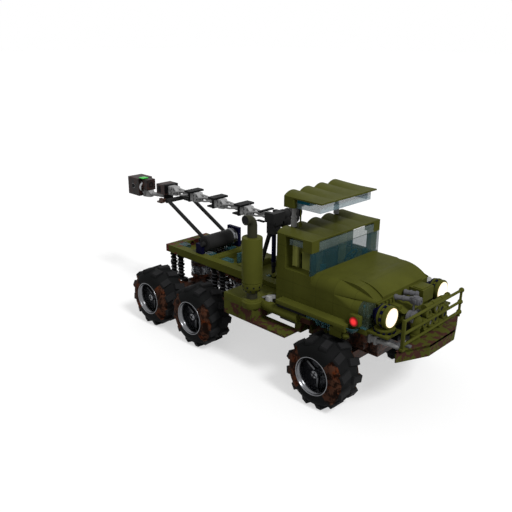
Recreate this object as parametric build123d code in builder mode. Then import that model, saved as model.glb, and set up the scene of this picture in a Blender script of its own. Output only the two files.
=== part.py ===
"""A brick-built toy: a six-wheel off-road truck with a raised roof and a recovery boom.

Millimetres, +X forward, +Y to the truck's left, +Z up. The ground is z = 0.
Each named piece is one solid model, written to its own STEP file.
"""
import math
import os

from build123d import *

os.makedirs("parts", exist_ok=True)

# Wheels and axles
wheel_radius = 25.0
lug_height = 2.2
lug_count = 12
lug_round = 5.6
lug_lean = 14.0
lug_end = 1.2
shoulder = 4.2
shoulder_drop = 2.3
bore_sides = 20
tread_width = 26.3
wheel_y = 48.3
rim_radius = 13.9
rim_lip = 0.15
rim_wall = 1.2
web_depth = 8.0
web_wall = 2.4
spoke_width = 4.0
hub_radius = 4.6
cap_radius = 3.0
cap_inset = 2.3
stub_radius = 2.4
stub_reach = 15.0
running_gap = 0.05
axle_ahead = 20.8
middle_axle_x = -17.0
wheel_gap = 6.0
axle_beam = 8.0
bowl_radius = 8.0
kingpin_y = 31.0
kingpin_radius = 1.6
yoke_wall = 2.4
yoke_gap = 0.3
knuckle_height = 12.0
knuckle_half = 3.5
shock_radius = 2.2
shock_saddle = 3.0
shock_y = 18.0
shock_behind = (7.0, 17.0)

# Bed and frame
tyre_clearance = 4.9
bed_height = 6.4
bed_half = 24.0
bed_rear = -93.2
bed_border = 8.0
bed_floor = 1.6
tile = 8.0
tile_wall = 3.2
tile_gap = 8.0
rail_inner = 6.0
rail_outer = 14.0
rail_height = 6.0
frame_ahead = 7.7

# Cab, with each height measured from the one below it
cab_rear = 58.2
cab_length = 32.0
cab_half = 40.0
cab_wall = 8.0
floor_step = 2.1
panel = 3.2
roof_wall = 1.0
side_height = 28.0
lower_glass = 16.4
upper_glass = 8.5
hump_pitch = 16.0
hump_rise = 3.0
glass_wall = 1.6
dash_depth = 8.0
dash_height = 18.8
seat_depth = 15.0
seat_width = 18.0
steer_radius = 6.5

# Raised roof over the cab
hat_rise = 24.9
hat_overhang = 1.4
hat_inset = 8.0
hat_skirt = 8.0
glass_inset = 3.0
hat_post_radius = 1.6
hat_post_inset = 15.4

# Hood, body sides and sills
hood_length = 48.1
hood_crown = 1.4
hood_drop = 6.5
hood_side_drop = 6.6
hood_strip = 24.0
side_round = 19.8
flank_round = 6.5
flank_run = 5.6
cone_tip = 1.4
hood_flat = 27.8
lens_length = 7.7
sill_width = 8.0
sill_height = 6.0
sill_start = 6.8
sill_length = 61.0
brick_length = 11.0
brick_height = 6.5
tank_radius = 3.8

# Side boxes and running boards
box_reach = 16.0
box_gap = 11.4
box_length = 30.0
box_height = 15.0
box_over_bed = 2.7
board_clearance = 4.5
board_wall = 1.6
board_width = 15.0

# Exhaust stack
stack_inset = 6.0
stack_radius = 7.6
stack_foot = 5.9
stack_height = 41.7
foot_ring = 8.0
foot_pipe_radius = 4.0
top_pipe_radius = 3.6
top_pipe_height = 8.6
elbow_radius = 5.0

# Boom, mast and prop frame
boom_rise = 42.9
pivot_x = 18.0
first_plate = 3.5
boom_pitch = 32.0
link_count = 4
link_half = 4.0
thin_half = 2.4
plate_wall = 1.6
mast_radius = 1.6
mast_half = 6.5
plate_half = 8.0
block_half = 4.0
cheek_inner = 4.2
pivot_barrel = 3.2
end_cube = 17.5
prop_x = -48.0
prop_rise = 9.2
drum_radius = 6.8
drum_half = 16.5
bracket_wall = 3.7
axle_pin = 2.0
prop_reach = 54.2
prop_half = 12.5
prop_radius = 1.7
prop_bar_radius = 2.0
rest_gap = 0.3

# Front end
lamp_ahead = 13.0
lamp_inset = 8.1
lamp_over_sill = 8.8
lamp_radius = 6.4
lamp_ring = 1.4
marker_ahead = 4.3
marker_out = 4.2
marker_radius = 3.2
bumper_ahead = 25.0
bumper_nose = 7.8
bumper_height = 8.0
knee_half = 16.5
bar_inset = 3.3
bar_height = 21.5
rail_radius = 1.0
rail_inset = 0.7
ball_radius = 2.0
guard_inset = 3.6
guard_wall = 3.0
cluster_pitch = 10.0
sleeve_radius = 2.0
barrel_radius = 2.8
hub_end_radius = 4.0
arm_radius = 2.2
arm_y = 26.5
shelf_length = 15.8
shelf_half = 8.0
shelf_wall = 1.6
lamp_depth = 9.0
lens_wall = 0.5
nose_rise = 12.0
brow_reach = 12.0
brow_left = 8.0
brow_right = -16.0

# Heights and places that follow from the sizes above
axle_z = wheel_radius
rear_axle_x = middle_axle_x - 2 * wheel_radius - wheel_gap
bed_low = 2 * wheel_radius + tyre_clearance
bed_top = bed_low + bed_height
cab_floor_z = bed_low + floor_step
ledge_z = cab_floor_z + side_height
glass_split_z = ledge_z + lower_glass
roof_edge_z = glass_split_z + upper_glass
hat_edge_z = roof_edge_z + hat_rise
cab_front = cab_rear + cab_length
cab_inner = cab_half - cab_wall
hat_half = cab_half - hat_inset
hood_front = cab_front + hood_length
sill_top_z = cab_floor_z + sill_height
fender_front = hood_front - lens_length
full_x = fender_front - flank_run
box_outer = cab_half + box_reach
box_rear = middle_axle_x + wheel_radius + box_gap
box_front = box_rear + box_length
board_front = cab_front + axle_ahead - wheel_radius - board_clearance
box_top_z = bed_low + box_over_bed
box_low_z = box_top_z - box_height
boom_z = bed_top + boom_rise
prop_z = bed_top + prop_rise
tyre_inner = wheel_y - tread_width / 2
front_axle_x = cab_front + axle_ahead
frame_front = hood_front + frame_ahead
stub_end = tyre_inner + stub_reach

SIDES = ((1, "left"), (-1, "right"))


def block(x, y, z, mode=Mode.ADD):
    """Add a box that spans the given low and high limits on each axis."""
    with Locations(((x[0] + x[1]) / 2, (y[0] + y[1]) / 2, (z[0] + z[1]) / 2)):
        Box(x[1] - x[0], y[1] - y[0], z[1] - z[0], mode=mode)


def rod(start, end, radius, mode=Mode.ADD):
    """Add a round bar between two points."""
    axis = Vector(*end) - Vector(*start)
    with BuildSketch(Plane(origin=start, z_dir=axis)) as disc:
        Circle(radius)
    extrude(disc.sketch, amount=axis.length, mode=mode)


def across(side, near, far):
    """Limits across the truck, from two distances to its middle."""
    return tuple(sorted((side * near, side * far)))


def save(name, part):
    """Label a finished piece and write it."""
    part.label = name
    export_step(part, f"parts/{name}.step")


# Six tyres and rims, placed by the table of axles
AXLES = (("front", front_axle_x), ("middle", middle_axle_x), ("rear", rear_axle_x))


full = wheel_radius - lug_height
lug_half = tread_width / 4 - lug_end
lean = math.radians(lug_lean)
lug_corner = lug_round / 2 * math.cos(lean) + lug_half * math.sin(lean)
lug_top = math.sqrt(wheel_radius**2 - lug_corner**2)
lug_turn = math.degrees(math.asin(lug_corner / wheel_radius))


def facets(plane, radius):
    """The tyre's outline: a ring of flat faces, two for each lug."""
    with BuildSketch(plane) as outline:
        RegularPolygon(radius, 2 * lug_count)
    return outline.sketch.face()


for axle, axle_x in AXLES:
    for side, hand in SIDES:
        wheel_plane = Plane(origin=(axle_x, side * tyre_inner, axle_z), z_dir=(0, side, 0))
        with BuildPart() as tyre:
            loft([facets(wheel_plane, full - shoulder_drop), facets(wheel_plane.offset(shoulder), full),
                  facets(wheel_plane.offset(tread_width - shoulder), full),
                  facets(wheel_plane.offset(tread_width), full - shoulder_drop)], ruled=True)
            for row in (0, 1):
                with Locations(wheel_plane.offset((0.25 + 0.5 * row) * tread_width)):
                    with PolarLocations(full, lug_count, start_angle=180 / lug_count * row + lug_turn):
                        with Locations(Rotation(lug_lean * (2 * row - 1), 0, 0)):
                            Box(2 * (lug_top - full), lug_round, 2 * lug_half)
            with BuildSketch(wheel_plane):
                RegularPolygon(rim_radius + running_gap, bore_sides, major_radius=False)
            extrude(amount=tread_width, mode=Mode.SUBTRACT)
        save(f"tyre_{axle}_{hand}", tyre.part)

        with BuildPart() as rim:
            with BuildSketch(wheel_plane):
                Circle(rim_radius)
                Circle(rim_radius - rim_wall, mode=Mode.SUBTRACT)
            extrude(amount=tread_width + rim_lip)
            with BuildSketch(wheel_plane.offset(web_depth)):
                Circle(hub_radius)
                with PolarLocations(0, 3):
                    with Locations((rim_radius / 2, 0)):
                        Rectangle(rim_radius - rim_wall / 2, spoke_width)
            extrude(amount=web_wall)
            with BuildSketch(wheel_plane.offset(web_depth - 4.0)):
                Circle(hub_radius)
            extrude(amount=stub_reach - web_depth + 5.0)
            with BuildSketch(wheel_plane.offset(web_depth)):
                Circle(cap_radius)
            extrude(amount=tread_width - web_depth - cap_inset)
            with BuildSketch(wheel_plane):
                Circle(stub_radius + running_gap)
            extrude(amount=stub_reach + running_gap, mode=Mode.SUBTRACT)
        save(f"rim_{axle}_{hand}", rim.part)

# Driven axles behind, each one beam with a bowl in its middle
for axle, axle_x in AXLES[1:]:
    with BuildPart() as beam:
        block((axle_x - axle_beam / 2, axle_x + axle_beam / 2), (1.0 - tyre_inner, tyre_inner - 1.0),
              (axle_z - axle_beam / 2, axle_z + axle_beam / 2))
        rod((axle_x, -stub_end, axle_z), (axle_x, stub_end, axle_z), stub_radius)
        rod((axle_x, 0, axle_z - 7.0), (axle_x, 0, axle_z + 7.0), bowl_radius)
    save(f"axle_{axle}", beam.part)

# Front axle with an open yoke at each end
yoke_low = axle_z - knuckle_height / 2 - yoke_gap
yoke_high = axle_z + knuckle_height / 2 + yoke_gap
yoke_root = kingpin_y - knuckle_half - 2.0
with BuildPart() as front_axle:
    yoke_x = (front_axle_x - axle_beam / 2, front_axle_x + axle_beam / 2)
    block(yoke_x, (-yoke_root, yoke_root), (axle_z - axle_beam / 2, axle_z + axle_beam / 2))
    block((front_axle_x + axle_beam / 2, front_axle_x + 24.0), (-20.0, 20.0), (axle_z + 8.0, axle_z + 20.0))
    block((front_axle_x - 2.0, front_axle_x + axle_beam / 2), (-5.0, 5.0),
          (axle_z + axle_beam / 2, axle_z + 20.0))
    for side, hand in SIDES:
        block(yoke_x, across(side, yoke_root - 3.2, yoke_root), (yoke_low - yoke_wall, yoke_high + yoke_wall))
        for low in (yoke_low - yoke_wall, yoke_high):
            block(yoke_x, across(side, yoke_root - 3.2, kingpin_y + 3.0), (low, low + yoke_wall))
        rod((front_axle_x, side * kingpin_y, yoke_low - 3.0),
            (front_axle_x, side * kingpin_y, yoke_high + 3.0),
            kingpin_radius + running_gap, mode=Mode.SUBTRACT)
save("axle_front", front_axle.part)
for side, hand in SIDES:
    with BuildPart() as knuckle:
        block((front_axle_x - knuckle_half, front_axle_x + knuckle_half),
              across(side, kingpin_y - 3.0, kingpin_y + 3.0),
              (axle_z - knuckle_height / 2, axle_z + knuckle_height / 2))
        rod((front_axle_x, side * kingpin_y, yoke_low - yoke_wall),
            (front_axle_x, side * kingpin_y, yoke_high + yoke_wall), kingpin_radius)
        rod((front_axle_x, side * kingpin_y, axle_z), (front_axle_x, side * stub_end, axle_z), stub_radius)
    save(f"knuckle_{hand}", knuckle.part)

# Frame rails under the bed, out to the front end
frame_low = cab_floor_z - 10.0
with BuildPart() as frame_rails:
    for side, hand in SIDES:
        block((bed_rear + 3.0, cab_rear), across(side, rail_inner, rail_outer),
              (bed_low - rail_height, bed_low))
        block((cab_rear, frame_front), across(side, rail_inner, rail_outer), (frame_low, cab_floor_z))
    for x in (bed_rear + 3.0, prop_x, middle_axle_x + 15.0, box_front - 8.0):
        block((x, x + 4.0), (-rail_inner, rail_inner), (bed_low - rail_height, bed_low))
    block((cab_rear - 4.0, cab_rear + 4.0), (-rail_outer, rail_outer), (frame_low, bed_low))
    block((frame_front - 4.0, frame_front), (-rail_inner, rail_inner), (frame_low, bed_low))
save("frame_rails", frame_rails.part)

# Each axle hangs on four shock absorbers behind it. Columns: place of the axle, height of their tops
SHOCKS = ((front_axle_x, cab_floor_z), (middle_axle_x, bed_low), (rear_axle_x, bed_low))
saddle_z = axle_z + axle_beam / 2
with BuildPart() as shocks:
    for axle_x, top_z in SHOCKS:
        for side, hand in SIDES:
            for behind in shock_behind:
                rod((axle_x - behind, side * shock_y, saddle_z + shock_saddle),
                    (axle_x - behind, side * shock_y, top_z), shock_radius)
            block((axle_x - shock_behind[-1] - shock_radius, axle_x),
                  across(side, shock_y - 2.0, shock_y + 2.0),
                  (saddle_z, saddle_z + shock_saddle))
save("shock_absorbers", shocks.part)

# Gear drums over the driven axles and the shafts between them
with BuildPart() as gears:
    for axle, axle_x in AXLES[1:]:
        rod((axle_x, 0, axle_z + 7.0), (axle_x, 0, axle_z + 17.0), bowl_radius + 0.4)
save("gear_drums", gears.part)
with BuildPart() as shaft:
    rod((rear_axle_x + bowl_radius + 0.6, 0, axle_z + 3.0),
        (middle_axle_x - bowl_radius - 0.6, 0, axle_z + 3.0), 2.6)
    rod((middle_axle_x + bowl_radius + 1.0, 0, axle_z + 4.0), (cab_rear - 6.0, 0, frame_low - 3.0), 2.6)
save("drive_shaft", shaft.part)

# Bed: a ladder of eight-millimetre beams. Columns of the table: rear edge, front edge, depth of its floor
POCKETS = ((-85.2, -64.0, bed_floor), (-52.6, -40.6, 0.0), (-32.6, -8.6, bed_floor), (-0.6, 50.2, bed_floor))
with BuildPart() as bed:
    block((bed_rear, cab_rear), (-bed_half, bed_half), (bed_low, bed_top))
    for low, high, floor in POCKETS:
        block((low, high), (bed_border - bed_half, bed_half - bed_border), (bed_low + floor, bed_top),
              mode=Mode.SUBTRACT)
    rod((bed_rear, 0, bed_low + bed_height / 2), (bed_rear + bed_border, 0, bed_low + bed_height / 2), 2.4,
        mode=Mode.SUBTRACT)
save("bed_frame", bed.part)
# Clear tiles, level with the beams, at these places along the bed
TILES = (POCKETS[0][0] + tile / 2, (POCKETS[1][0] + POCKETS[1][1]) / 2, POCKETS[2][1] - tile - tile_gap)
with BuildPart() as tiles:
    for x in TILES:
        for side, hand in SIDES:
            inner = bed_half - bed_border
            block((x - tile / 2, x + tile / 2), across(side, inner - tile, inner),
                  (bed_top - tile_wall, bed_top))
save("bed_tiles", tiles.part)

# Cab: floor, two side walls, rear wall, glass and the humped roof
roof_low = roof_edge_z - roof_wall
with BuildPart() as cab_floor:
    block((cab_rear, fender_front), (-cab_inner, cab_inner), (cab_floor_z, cab_floor_z + panel))
save("cab_floor", cab_floor.part)
with BuildPart() as cab_sides:
    for side, hand in SIDES:
        block((cab_rear, cab_front), across(side, cab_inner, cab_half), (cab_floor_z, ledge_z))
        block((cab_rear, cab_rear + cab_wall), across(side, cab_inner, cab_half), (ledge_z, roof_low))
save("cab_sides", cab_sides.part)
with BuildPart() as cab_rear_wall:
    block((cab_rear, cab_rear + panel), (-cab_inner, cab_inner), (cab_floor_z + panel, roof_low))
save("cab_rear_wall", cab_rear_wall.part)


def hump(x, middle, width, rise, edge_z):
    """A section of one hump: a low arc on a thin foot."""
    with BuildSketch(Plane(origin=(x, 0, edge_z), x_dir=(0, 1, 0), z_dir=(1, 0, 0))) as section:
        with BuildLine():
            arc = ThreePointArc((middle + width / 2, 0), (middle, rise), (middle - width / 2, 0))
            Polyline(arc @ 1, (middle - width / 2, -roof_wall / 2), (middle + width / 2, -roof_wall / 2),
                     arc @ 0)
        make_face()
    return section.sketch.face()


def humped_roof(rear, front, half, edge_z):
    """Add a thin roof whose round humps run out to nothing at its front edge."""
    block((rear, front), (-half, half), (edge_z - roof_wall, edge_z))
    humps = round(2 * half / hump_pitch)
    width = 2 * half / humps
    for index in range(humps):
        y = (index - (humps - 1) / 2) * width
        loft([hump(rear, y, width, hump_rise, edge_z), hump(front, y, width, 0.1, edge_z)], ruled=True)


with BuildPart() as cab_roof:
    humped_roof(cab_rear, cab_front, cab_half, roof_edge_z)
    for side, hand in SIDES:
        block((cab_front - cab_wall, cab_front), across(side, cab_inner, cab_half), (glass_split_z, roof_low))
save("cab_roof", cab_roof.part)
with BuildPart() as windscreen:
    block((cab_front - glass_wall, cab_front), (-cab_half, cab_half), (ledge_z, glass_split_z))
    block((cab_front - glass_wall, cab_front), (-cab_inner, cab_inner), (glass_split_z, roof_low))
    for side, hand in SIDES:
        block((cab_front - cab_wall, cab_front - glass_wall), across(side, cab_half - glass_wall, cab_half),
              (ledge_z, glass_split_z))
save("windscreen", windscreen.part)
dash_rear = cab_front - dash_depth
dash_top_z = cab_floor_z + panel + dash_height
with BuildPart() as dashboard:
    block((dash_rear, cab_front), (-cab_inner, cab_inner), (cab_floor_z + panel, dash_top_z))
save("dashboard", dashboard.part)
seat_rear = cab_rear + panel
seat_top_z = cab_floor_z + panel + 7.8
with BuildPart() as seats:
    for side, hand in SIDES:
        seat_y = across(side, 5.0, 5.0 + seat_width)
        block((seat_rear, seat_rear + seat_depth), seat_y, (cab_floor_z + panel, seat_top_z))
        block((seat_rear, seat_rear + 5.0), seat_y, (seat_top_z, seat_top_z + 14.0))
        rod((seat_rear, side * (5.0 + seat_width / 2), seat_top_z + 14.0),
            (seat_rear + 5.0, side * (5.0 + seat_width / 2), seat_top_z + 14.0), seat_width / 2)
save("seats", seats.part)
steer_y = 5.0 + seat_width / 2
with BuildPart() as steering_wheel:
    rod((dash_rear - 1.2, steer_y, dash_top_z - 3.0), (dash_rear - 3.6, steer_y, dash_top_z - 0.6), 1.2)
    with BuildSketch(Plane(origin=(dash_rear - 3.6, steer_y, dash_top_z - 0.6), z_dir=(-1, 0, 1))):
        Circle(steer_radius)
        Circle(steer_radius - 1.5, mode=Mode.SUBTRACT)
        Rectangle(1.6, 2 * steer_radius - 1.0)
        Rectangle(2 * steer_radius - 1.0, 1.6)
    extrude(amount=1.4)
save("steering_wheel", steering_wheel.part)

# Raised roof with its own skirt, on two posts
hat_rear = cab_rear - hat_overhang
hat_front = cab_front + 0.4
skirt_z = (hat_edge_z - hat_skirt, hat_edge_z - roof_wall)
with BuildPart() as hat:
    humped_roof(hat_rear, hat_front, hat_half, hat_edge_z)
    block((hat_rear, hat_rear + hat_skirt), (-hat_half, hat_half), skirt_z)
save("hat_roof", hat.part)
with BuildPart() as hat_posts:
    for side, hand in SIDES:
        post_y = side * (cab_half - hat_post_inset)
        rod((cab_rear + 1.9, post_y, roof_edge_z + 1.5), (cab_rear + 1.9, post_y, hat_edge_z - hat_skirt),
            hat_post_radius)
save("hat_posts", hat_posts.part)
with BuildPart() as hat_glass:
    glass_y = hat_half - glass_inset
    for side, hand in SIDES:
        block((hat_rear + hat_skirt, hat_front - glass_inset), across(side, glass_y - glass_wall, glass_y),
              skirt_z)
    block((hat_front - glass_inset - glass_wall, hat_front - glass_inset), (-glass_y, glass_y), skirt_z)
save("hat_glass", hat_glass.part)

# Hood: a middle with a round nose, and quarter rounds down to the body sides
hood_top_z = ledge_z + hood_crown
hood_side_z = ledge_z - hood_side_drop
hood_nose_z = ledge_z - hood_drop
flat_end = cab_front + hood_flat
# Columns of the table: inner and outer edge across, drop of the curve's middle, height of its end over the nose
HOOD_STRIPS = ((0.0, hood_strip, 1.2, 1.5), (hood_strip, cab_inner, 2.1, 0.0))


def side_plane(x, side):
    """The plane across the truck at x, drawn outward from the middle and up."""
    return Plane(origin=(x, 0, 0), x_dir=(0, side, 0), z_dir=(side, 0, 0))


def quarter(x, side, size):
    """The quarter round beside the hood, of the given size."""
    with BuildSketch(side_plane(x, side)) as sector:
        with BuildLine():
            flat = Line((cab_inner, hood_side_z), (cab_inner + size, hood_side_z))
            arc = ThreePointArc(flat @ 1, (cab_inner + 0.7071 * size, hood_side_z + 0.7071 * size),
                                (cab_inner, hood_side_z + size))
            Line(arc @ 1, flat @ 0)
        make_face()
    return sector.sketch.face()


def flank(x, side, low_z, size, height):
    """A section of the body side, with its upper outer edge rounded."""
    with BuildSketch(side_plane(x, side)) as section:
        with BuildLine():
            foot = Polyline((cab_inner, low_z), (cab_half, low_z), (cab_half, hood_side_z - height))
            arc = ThreePointArc(foot @ 1, (cab_half - 0.2929 * size, hood_side_z - 0.2929 * height),
                                (cab_half - size, hood_side_z))
            Polyline(arc @ 1, (cab_inner, hood_side_z), foot @ 0)
        make_face()
    return section.sketch.face()


with BuildPart() as hood:
    for inner, outer, drop, rise in HOOD_STRIPS:
        for side, hand in SIDES:
            with BuildSketch(Plane((0, side * inner, 0), x_dir=(1, 0, 0), z_dir=(0, -1, 0))) as strip:
                with BuildLine():
                    back = Line((cab_front, hood_side_z), (cab_front, hood_top_z))
                    top = Line(back @ 1, (flat_end, hood_top_z))
                    nose = ThreePointArc(top @ 1, (flat_end + 11.5, hood_top_z - drop),
                                         (hood_front, hood_nose_z + rise))
                    front = Line(nose @ 1, (hood_front, hood_nose_z - panel))
                    Line(front @ 1, back @ 0)
                make_face()
            extrude(strip.sketch, amount=-side * (outer - inner))
    for side, hand in SIDES:
        seam = cab_front + side_round
        extrude(quarter(cab_front, side, cab_wall), amount=side * side_round)
        loft([quarter(seam, side, cab_wall), quarter(hood_front, side, cone_tip)], ruled=True)
save("hood", hood.part)
shelf_z = sill_top_z - 1.4
with BuildPart() as fenders:
    for side, hand in SIDES:
        start = cab_front + side_round
        block((cab_front, start), across(side, cab_inner, cab_half), (cab_floor_z, hood_side_z))
        loft([flank(start, side, cab_floor_z, 0.5, 0.5), flank(full_x, side, cab_floor_z, cab_wall - 0.4,
                                                               flank_round)],
             ruled=True)
        extrude(flank(full_x, side, cab_floor_z, cab_wall - 0.4, flank_round),
                amount=side * (fender_front - full_x))
save("fenders", fenders.part)
with BuildPart() as corner_lenses:
    for side, hand in SIDES:
        extrude(flank(fender_front, side, shelf_z, cab_wall - 0.4, flank_round),
                amount=side * (hood_front - fender_front))
save("corner_lenses", corner_lenses.part)

# Sills with the tube below them and the arch block behind each front wheel
sill_x = (cab_rear + sill_start, cab_rear + sill_start + sill_length)
tank_z = cab_floor_z - tank_radius
with BuildPart() as sills:
    for side, hand in SIDES:
        tank_y = side * (cab_half + sill_width / 2)
        block(sill_x, across(side, cab_half, cab_half + sill_width), (cab_floor_z, sill_top_z))
        rod((box_front, tank_y, tank_z), (cab_front - 6.2, tank_y, tank_z), tank_radius)
        block((sill_x[0], sill_x[0] + 12.0), across(side, cab_half, cab_half + 4.0), (tank_z, cab_floor_z))
save("sills", sills.part)
arch_x = cab_front - 4.2
brick_rear = arch_x + 8.2
with BuildPart() as arches:
    for side, hand in SIDES:
        block((arch_x - 12.0, arch_x), across(side, cab_inner - 8.0, cab_inner),
              (cab_floor_z - 17.0, cab_floor_z))
        block((arch_x, arch_x + 8.0), across(side, cab_inner - 8.0, cab_inner + 4.0),
              (cab_floor_z - 4.0, cab_floor_z))
save("arch_blocks", arches.part)

# Clear sloped bricks under the cab floor, behind the front wheels
with BuildPart() as under_bricks:
    for side, hand in SIDES:
        low = cab_floor_z - brick_height
        with BuildSketch(Plane((0, side * cab_inner, 0), x_dir=(1, 0, 0), z_dir=(0, -1, 0))) as wedge:
            with BuildLine():
                Polyline((brick_rear, cab_floor_z), (brick_rear, low), (brick_rear + 4.0, low),
                         (brick_rear + brick_length, cab_floor_z - 1.6), (brick_rear + brick_length,
                                                                          cab_floor_z),
                         close=True)
            make_face()
        extrude(wedge.sketch, amount=side * tile)
save("under_bricks", under_bricks.part)

# Side boxes between the wheels, each on the running board that goes on forward
with BuildPart() as side_boxes:
    for side, hand in SIDES:
        block((box_rear, box_front), across(side, bed_half, box_outer), (box_low_z, bed_low))
        block((box_rear, box_front), across(side, bed_half + 0.5, box_outer), (bed_low, box_top_z))
        block((box_rear, board_front), across(side, box_outer - board_width, box_outer),
              (box_low_z - board_wall, box_low_z))
save("side_boxes", side_boxes.part)

# Exhaust stack on the right box, with its elbow turned out
stack_x = box_front - stack_inset
stack_y = stack_inset - box_outer
stack_low_z = box_top_z + stack_foot
stack_top_z = stack_low_z + stack_height
elbow_z = stack_top_z + top_pipe_height
with BuildPart() as stack:
    rod((stack_x, stack_y, stack_low_z + foot_ring), (stack_x, stack_y, stack_top_z), stack_radius)
    rod((stack_x, stack_y, stack_low_z + 1.6), (stack_x, stack_y, stack_low_z + foot_ring),
        stack_radius - 0.8)
    rod((stack_x, stack_y, stack_low_z), (stack_x, stack_y, stack_low_z + 1.6), stack_radius - 2.0)
save("exhaust_stack", stack.part)
with BuildPart() as pipes:
    rod((stack_x, stack_y, box_top_z), (stack_x, stack_y, stack_low_z), foot_pipe_radius)
    with BuildLine() as elbow:
        rise = Line((stack_x, stack_y, stack_top_z), (stack_x, stack_y, elbow_z))
        mouth = (stack_x, stack_y - elbow_radius, elbow_z + elbow_radius)
        bend = TangentArc(rise @ 1, mouth, tangent=(0, 0, 1))
        Line(bend @ 1, (stack_x, stack_y - elbow_radius - 2.0, elbow_z + elbow_radius))
    with BuildSketch(Plane(origin=(stack_x, stack_y, stack_top_z), z_dir=(0, 0, 1))):
        Circle(top_pipe_radius)
    sweep(path=elbow.line)
save("exhaust_pipes", pipes.part)

# Mast with the boom's clevis and the winch motor beside it
barrel_room = pivot_barrel + rest_gap
head_rear = pivot_x - 4.5
head_wall = pivot_x + barrel_room
head_front = head_wall + 2.0
head_low = boom_z - barrel_room - 1.4
cheek_low = boom_z - 3.0
head_top = boom_z + 5.0
winch_z = boom_z + 0.8
winch_end = mast_half + 18.0
with BuildPart() as mast:
    rod((pivot_x, 0, bed_low + bed_floor), (pivot_x, 0, head_low), mast_radius)
    rod((pivot_x - 16.0, 0, bed_low + bed_floor + 0.5), (pivot_x - 3.0, 0, head_low - 4.0), mast_radius + 0.2)
    block((head_rear, pivot_x + 3.5), (-block_half, block_half), (head_low - 8.0, head_low))
    block((head_wall, head_front), (-mast_half, mast_half), (cheek_low, head_top))
    block((head_rear, head_front), (-block_half, block_half), (head_low, boom_z - barrel_room))
    block((head_wall, head_front), (-block_half, block_half), (head_low, cheek_low))
    block((pivot_x, head_wall), (-mast_half, mast_half), (boom_z + barrel_room, head_top))
    for side, hand in SIDES:
        block((head_rear, head_wall), across(side, cheek_inner, mast_half), (cheek_low, head_top))
        block((head_rear, pivot_x), across(side, thin_half + rest_gap, mast_half),
              (boom_z + barrel_room, head_top))
    rod((pivot_x, -cheek_inner - 0.5, boom_z), (pivot_x, cheek_inner + 0.5, boom_z), mast_radius)
    rod((pivot_x + 1.0, mast_half, winch_z), (pivot_x + 1.0, winch_end, winch_z), 3.8)
    rod((pivot_x + 1.0, winch_end, winch_z), (pivot_x + 1.0, winch_end + 2.4, winch_z), 5.0)
save("mast", mast.part)

# Boom links in a row, the plates between them, and the blocks at its end
plate_x = [pivot_x - first_plate - index * boom_pitch for index in range(link_count + 1)]
tail_z = boom_z - 8.2
cube_front = plate_x[-1] - 40.5
with BuildPart() as links:
    rod((pivot_x, rest_gap - cheek_inner, boom_z), (pivot_x, cheek_inner - rest_gap, boom_z), pivot_barrel)
    block((plate_x[0], pivot_x - 2.0), (-thin_half, thin_half), (boom_z - thin_half, boom_z + thin_half))
    rod((pivot_x, -cheek_inner, boom_z), (pivot_x, cheek_inner, boom_z), mast_radius + running_gap,
        mode=Mode.SUBTRACT)
    for rear, front in zip(plate_x[1:], plate_x[:-1]):
        start = front if front == plate_x[0] else front - plate_wall
        block((rear + 16.0, start), (-thin_half, thin_half), (boom_z - thin_half, boom_z + thin_half))
        block((rear, rear + 16.0), (-link_half, link_half), (boom_z - link_half, boom_z + link_half))
    block((plate_x[-1] - 20.0, plate_x[-1] - 5.6), (-link_half, link_half), (tail_z - 3.4, tail_z + 3.4))
    block((cube_front, plate_x[-1] - 20.0), (-thin_half, thin_half), (tail_z - thin_half, tail_z + thin_half))
save("boom_links", links.part)
with BuildPart() as plates:
    for x in plate_x[1:-1]:
        block((x - plate_wall, x), (-5.0, 5.0), (boom_z - 5.0, boom_z + link_half))
        block((x - 3.0, x + 5.0), (-plate_half, plate_half),
              (boom_z + link_half, boom_z + link_half + plate_wall))
        block((x - 9.0, x - plate_wall), (-4.0, 4.0), (boom_z - 5.0, boom_z - 5.0 + 1.2))
    x = plate_x[-1] - 4.0
    block((x - plate_wall, x), (-5.0, 5.0), (tail_z - 4.0, boom_z - link_half))
save("boom_plates", plates.part)
with BuildPart() as boom_blocks:
    block((cube_front - end_cube, cube_front), (-8.0, 8.0), (tail_z - 4.0, tail_z + 13.0))
    block((cube_front, cube_front + 9.0), (-5.0, 5.0), (tail_z + thin_half, tail_z + 12.5))
    block((plate_x[-1] - 12.0, plate_x[-1]), (-8.0, 8.0), (boom_z - link_half, boom_z + 5.0))
save("boom_blocks", boom_blocks.part)

# Prop frame on its drum, lying under the boom
prop_top_x = prop_x - prop_reach
prop_top_z = boom_z - link_half - rest_gap - prop_bar_radius
prop_length = math.hypot(prop_top_x - prop_x, prop_top_z - prop_z)
prop_share = (drum_radius + 0.15) / prop_length
prop_foot_x = prop_x + prop_share * (prop_top_x - prop_x)
prop_foot_z = prop_z + prop_share * (prop_top_z - prop_z)
with BuildPart() as drum:
    rod((prop_x, -drum_half, prop_z), (prop_x, drum_half, prop_z), drum_radius)
    rod((prop_x, -drum_half - bracket_wall, prop_z), (prop_x, drum_half + bracket_wall, prop_z), axle_pin)
save("prop_drum", drum.part)
with BuildPart() as prop:
    rod((prop_top_x, -prop_half - 2.2, prop_top_z), (prop_top_x, prop_half + 2.2, prop_top_z),
        prop_bar_radius)
    for side, hand in SIDES:
        rod((prop_foot_x, side * prop_half, prop_foot_z), (prop_top_x, side * prop_half, prop_top_z),
            prop_radius)
save("prop_frame", prop.part)
# Columns of the table: side, name, how far the bracket goes ahead of the drum's axle, and over it
BRACKETS = ((1, "left", drum_radius, drum_radius + 1.6), (-1, "right", 0.0, -0.4))
with BuildPart() as brackets:
    for side, hand, reach, rise in BRACKETS:
        block((prop_x - drum_radius - 0.8, prop_x + reach),
              across(side, drum_half + 0.5, drum_half + bracket_wall),
              (bed_top, prop_z + rise))
    rod((prop_x, -bed_half, prop_z), (prop_x, bed_half, prop_z), axle_pin + running_gap, mode=Mode.SUBTRACT)
save("drum_brackets", brackets.part)

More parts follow.
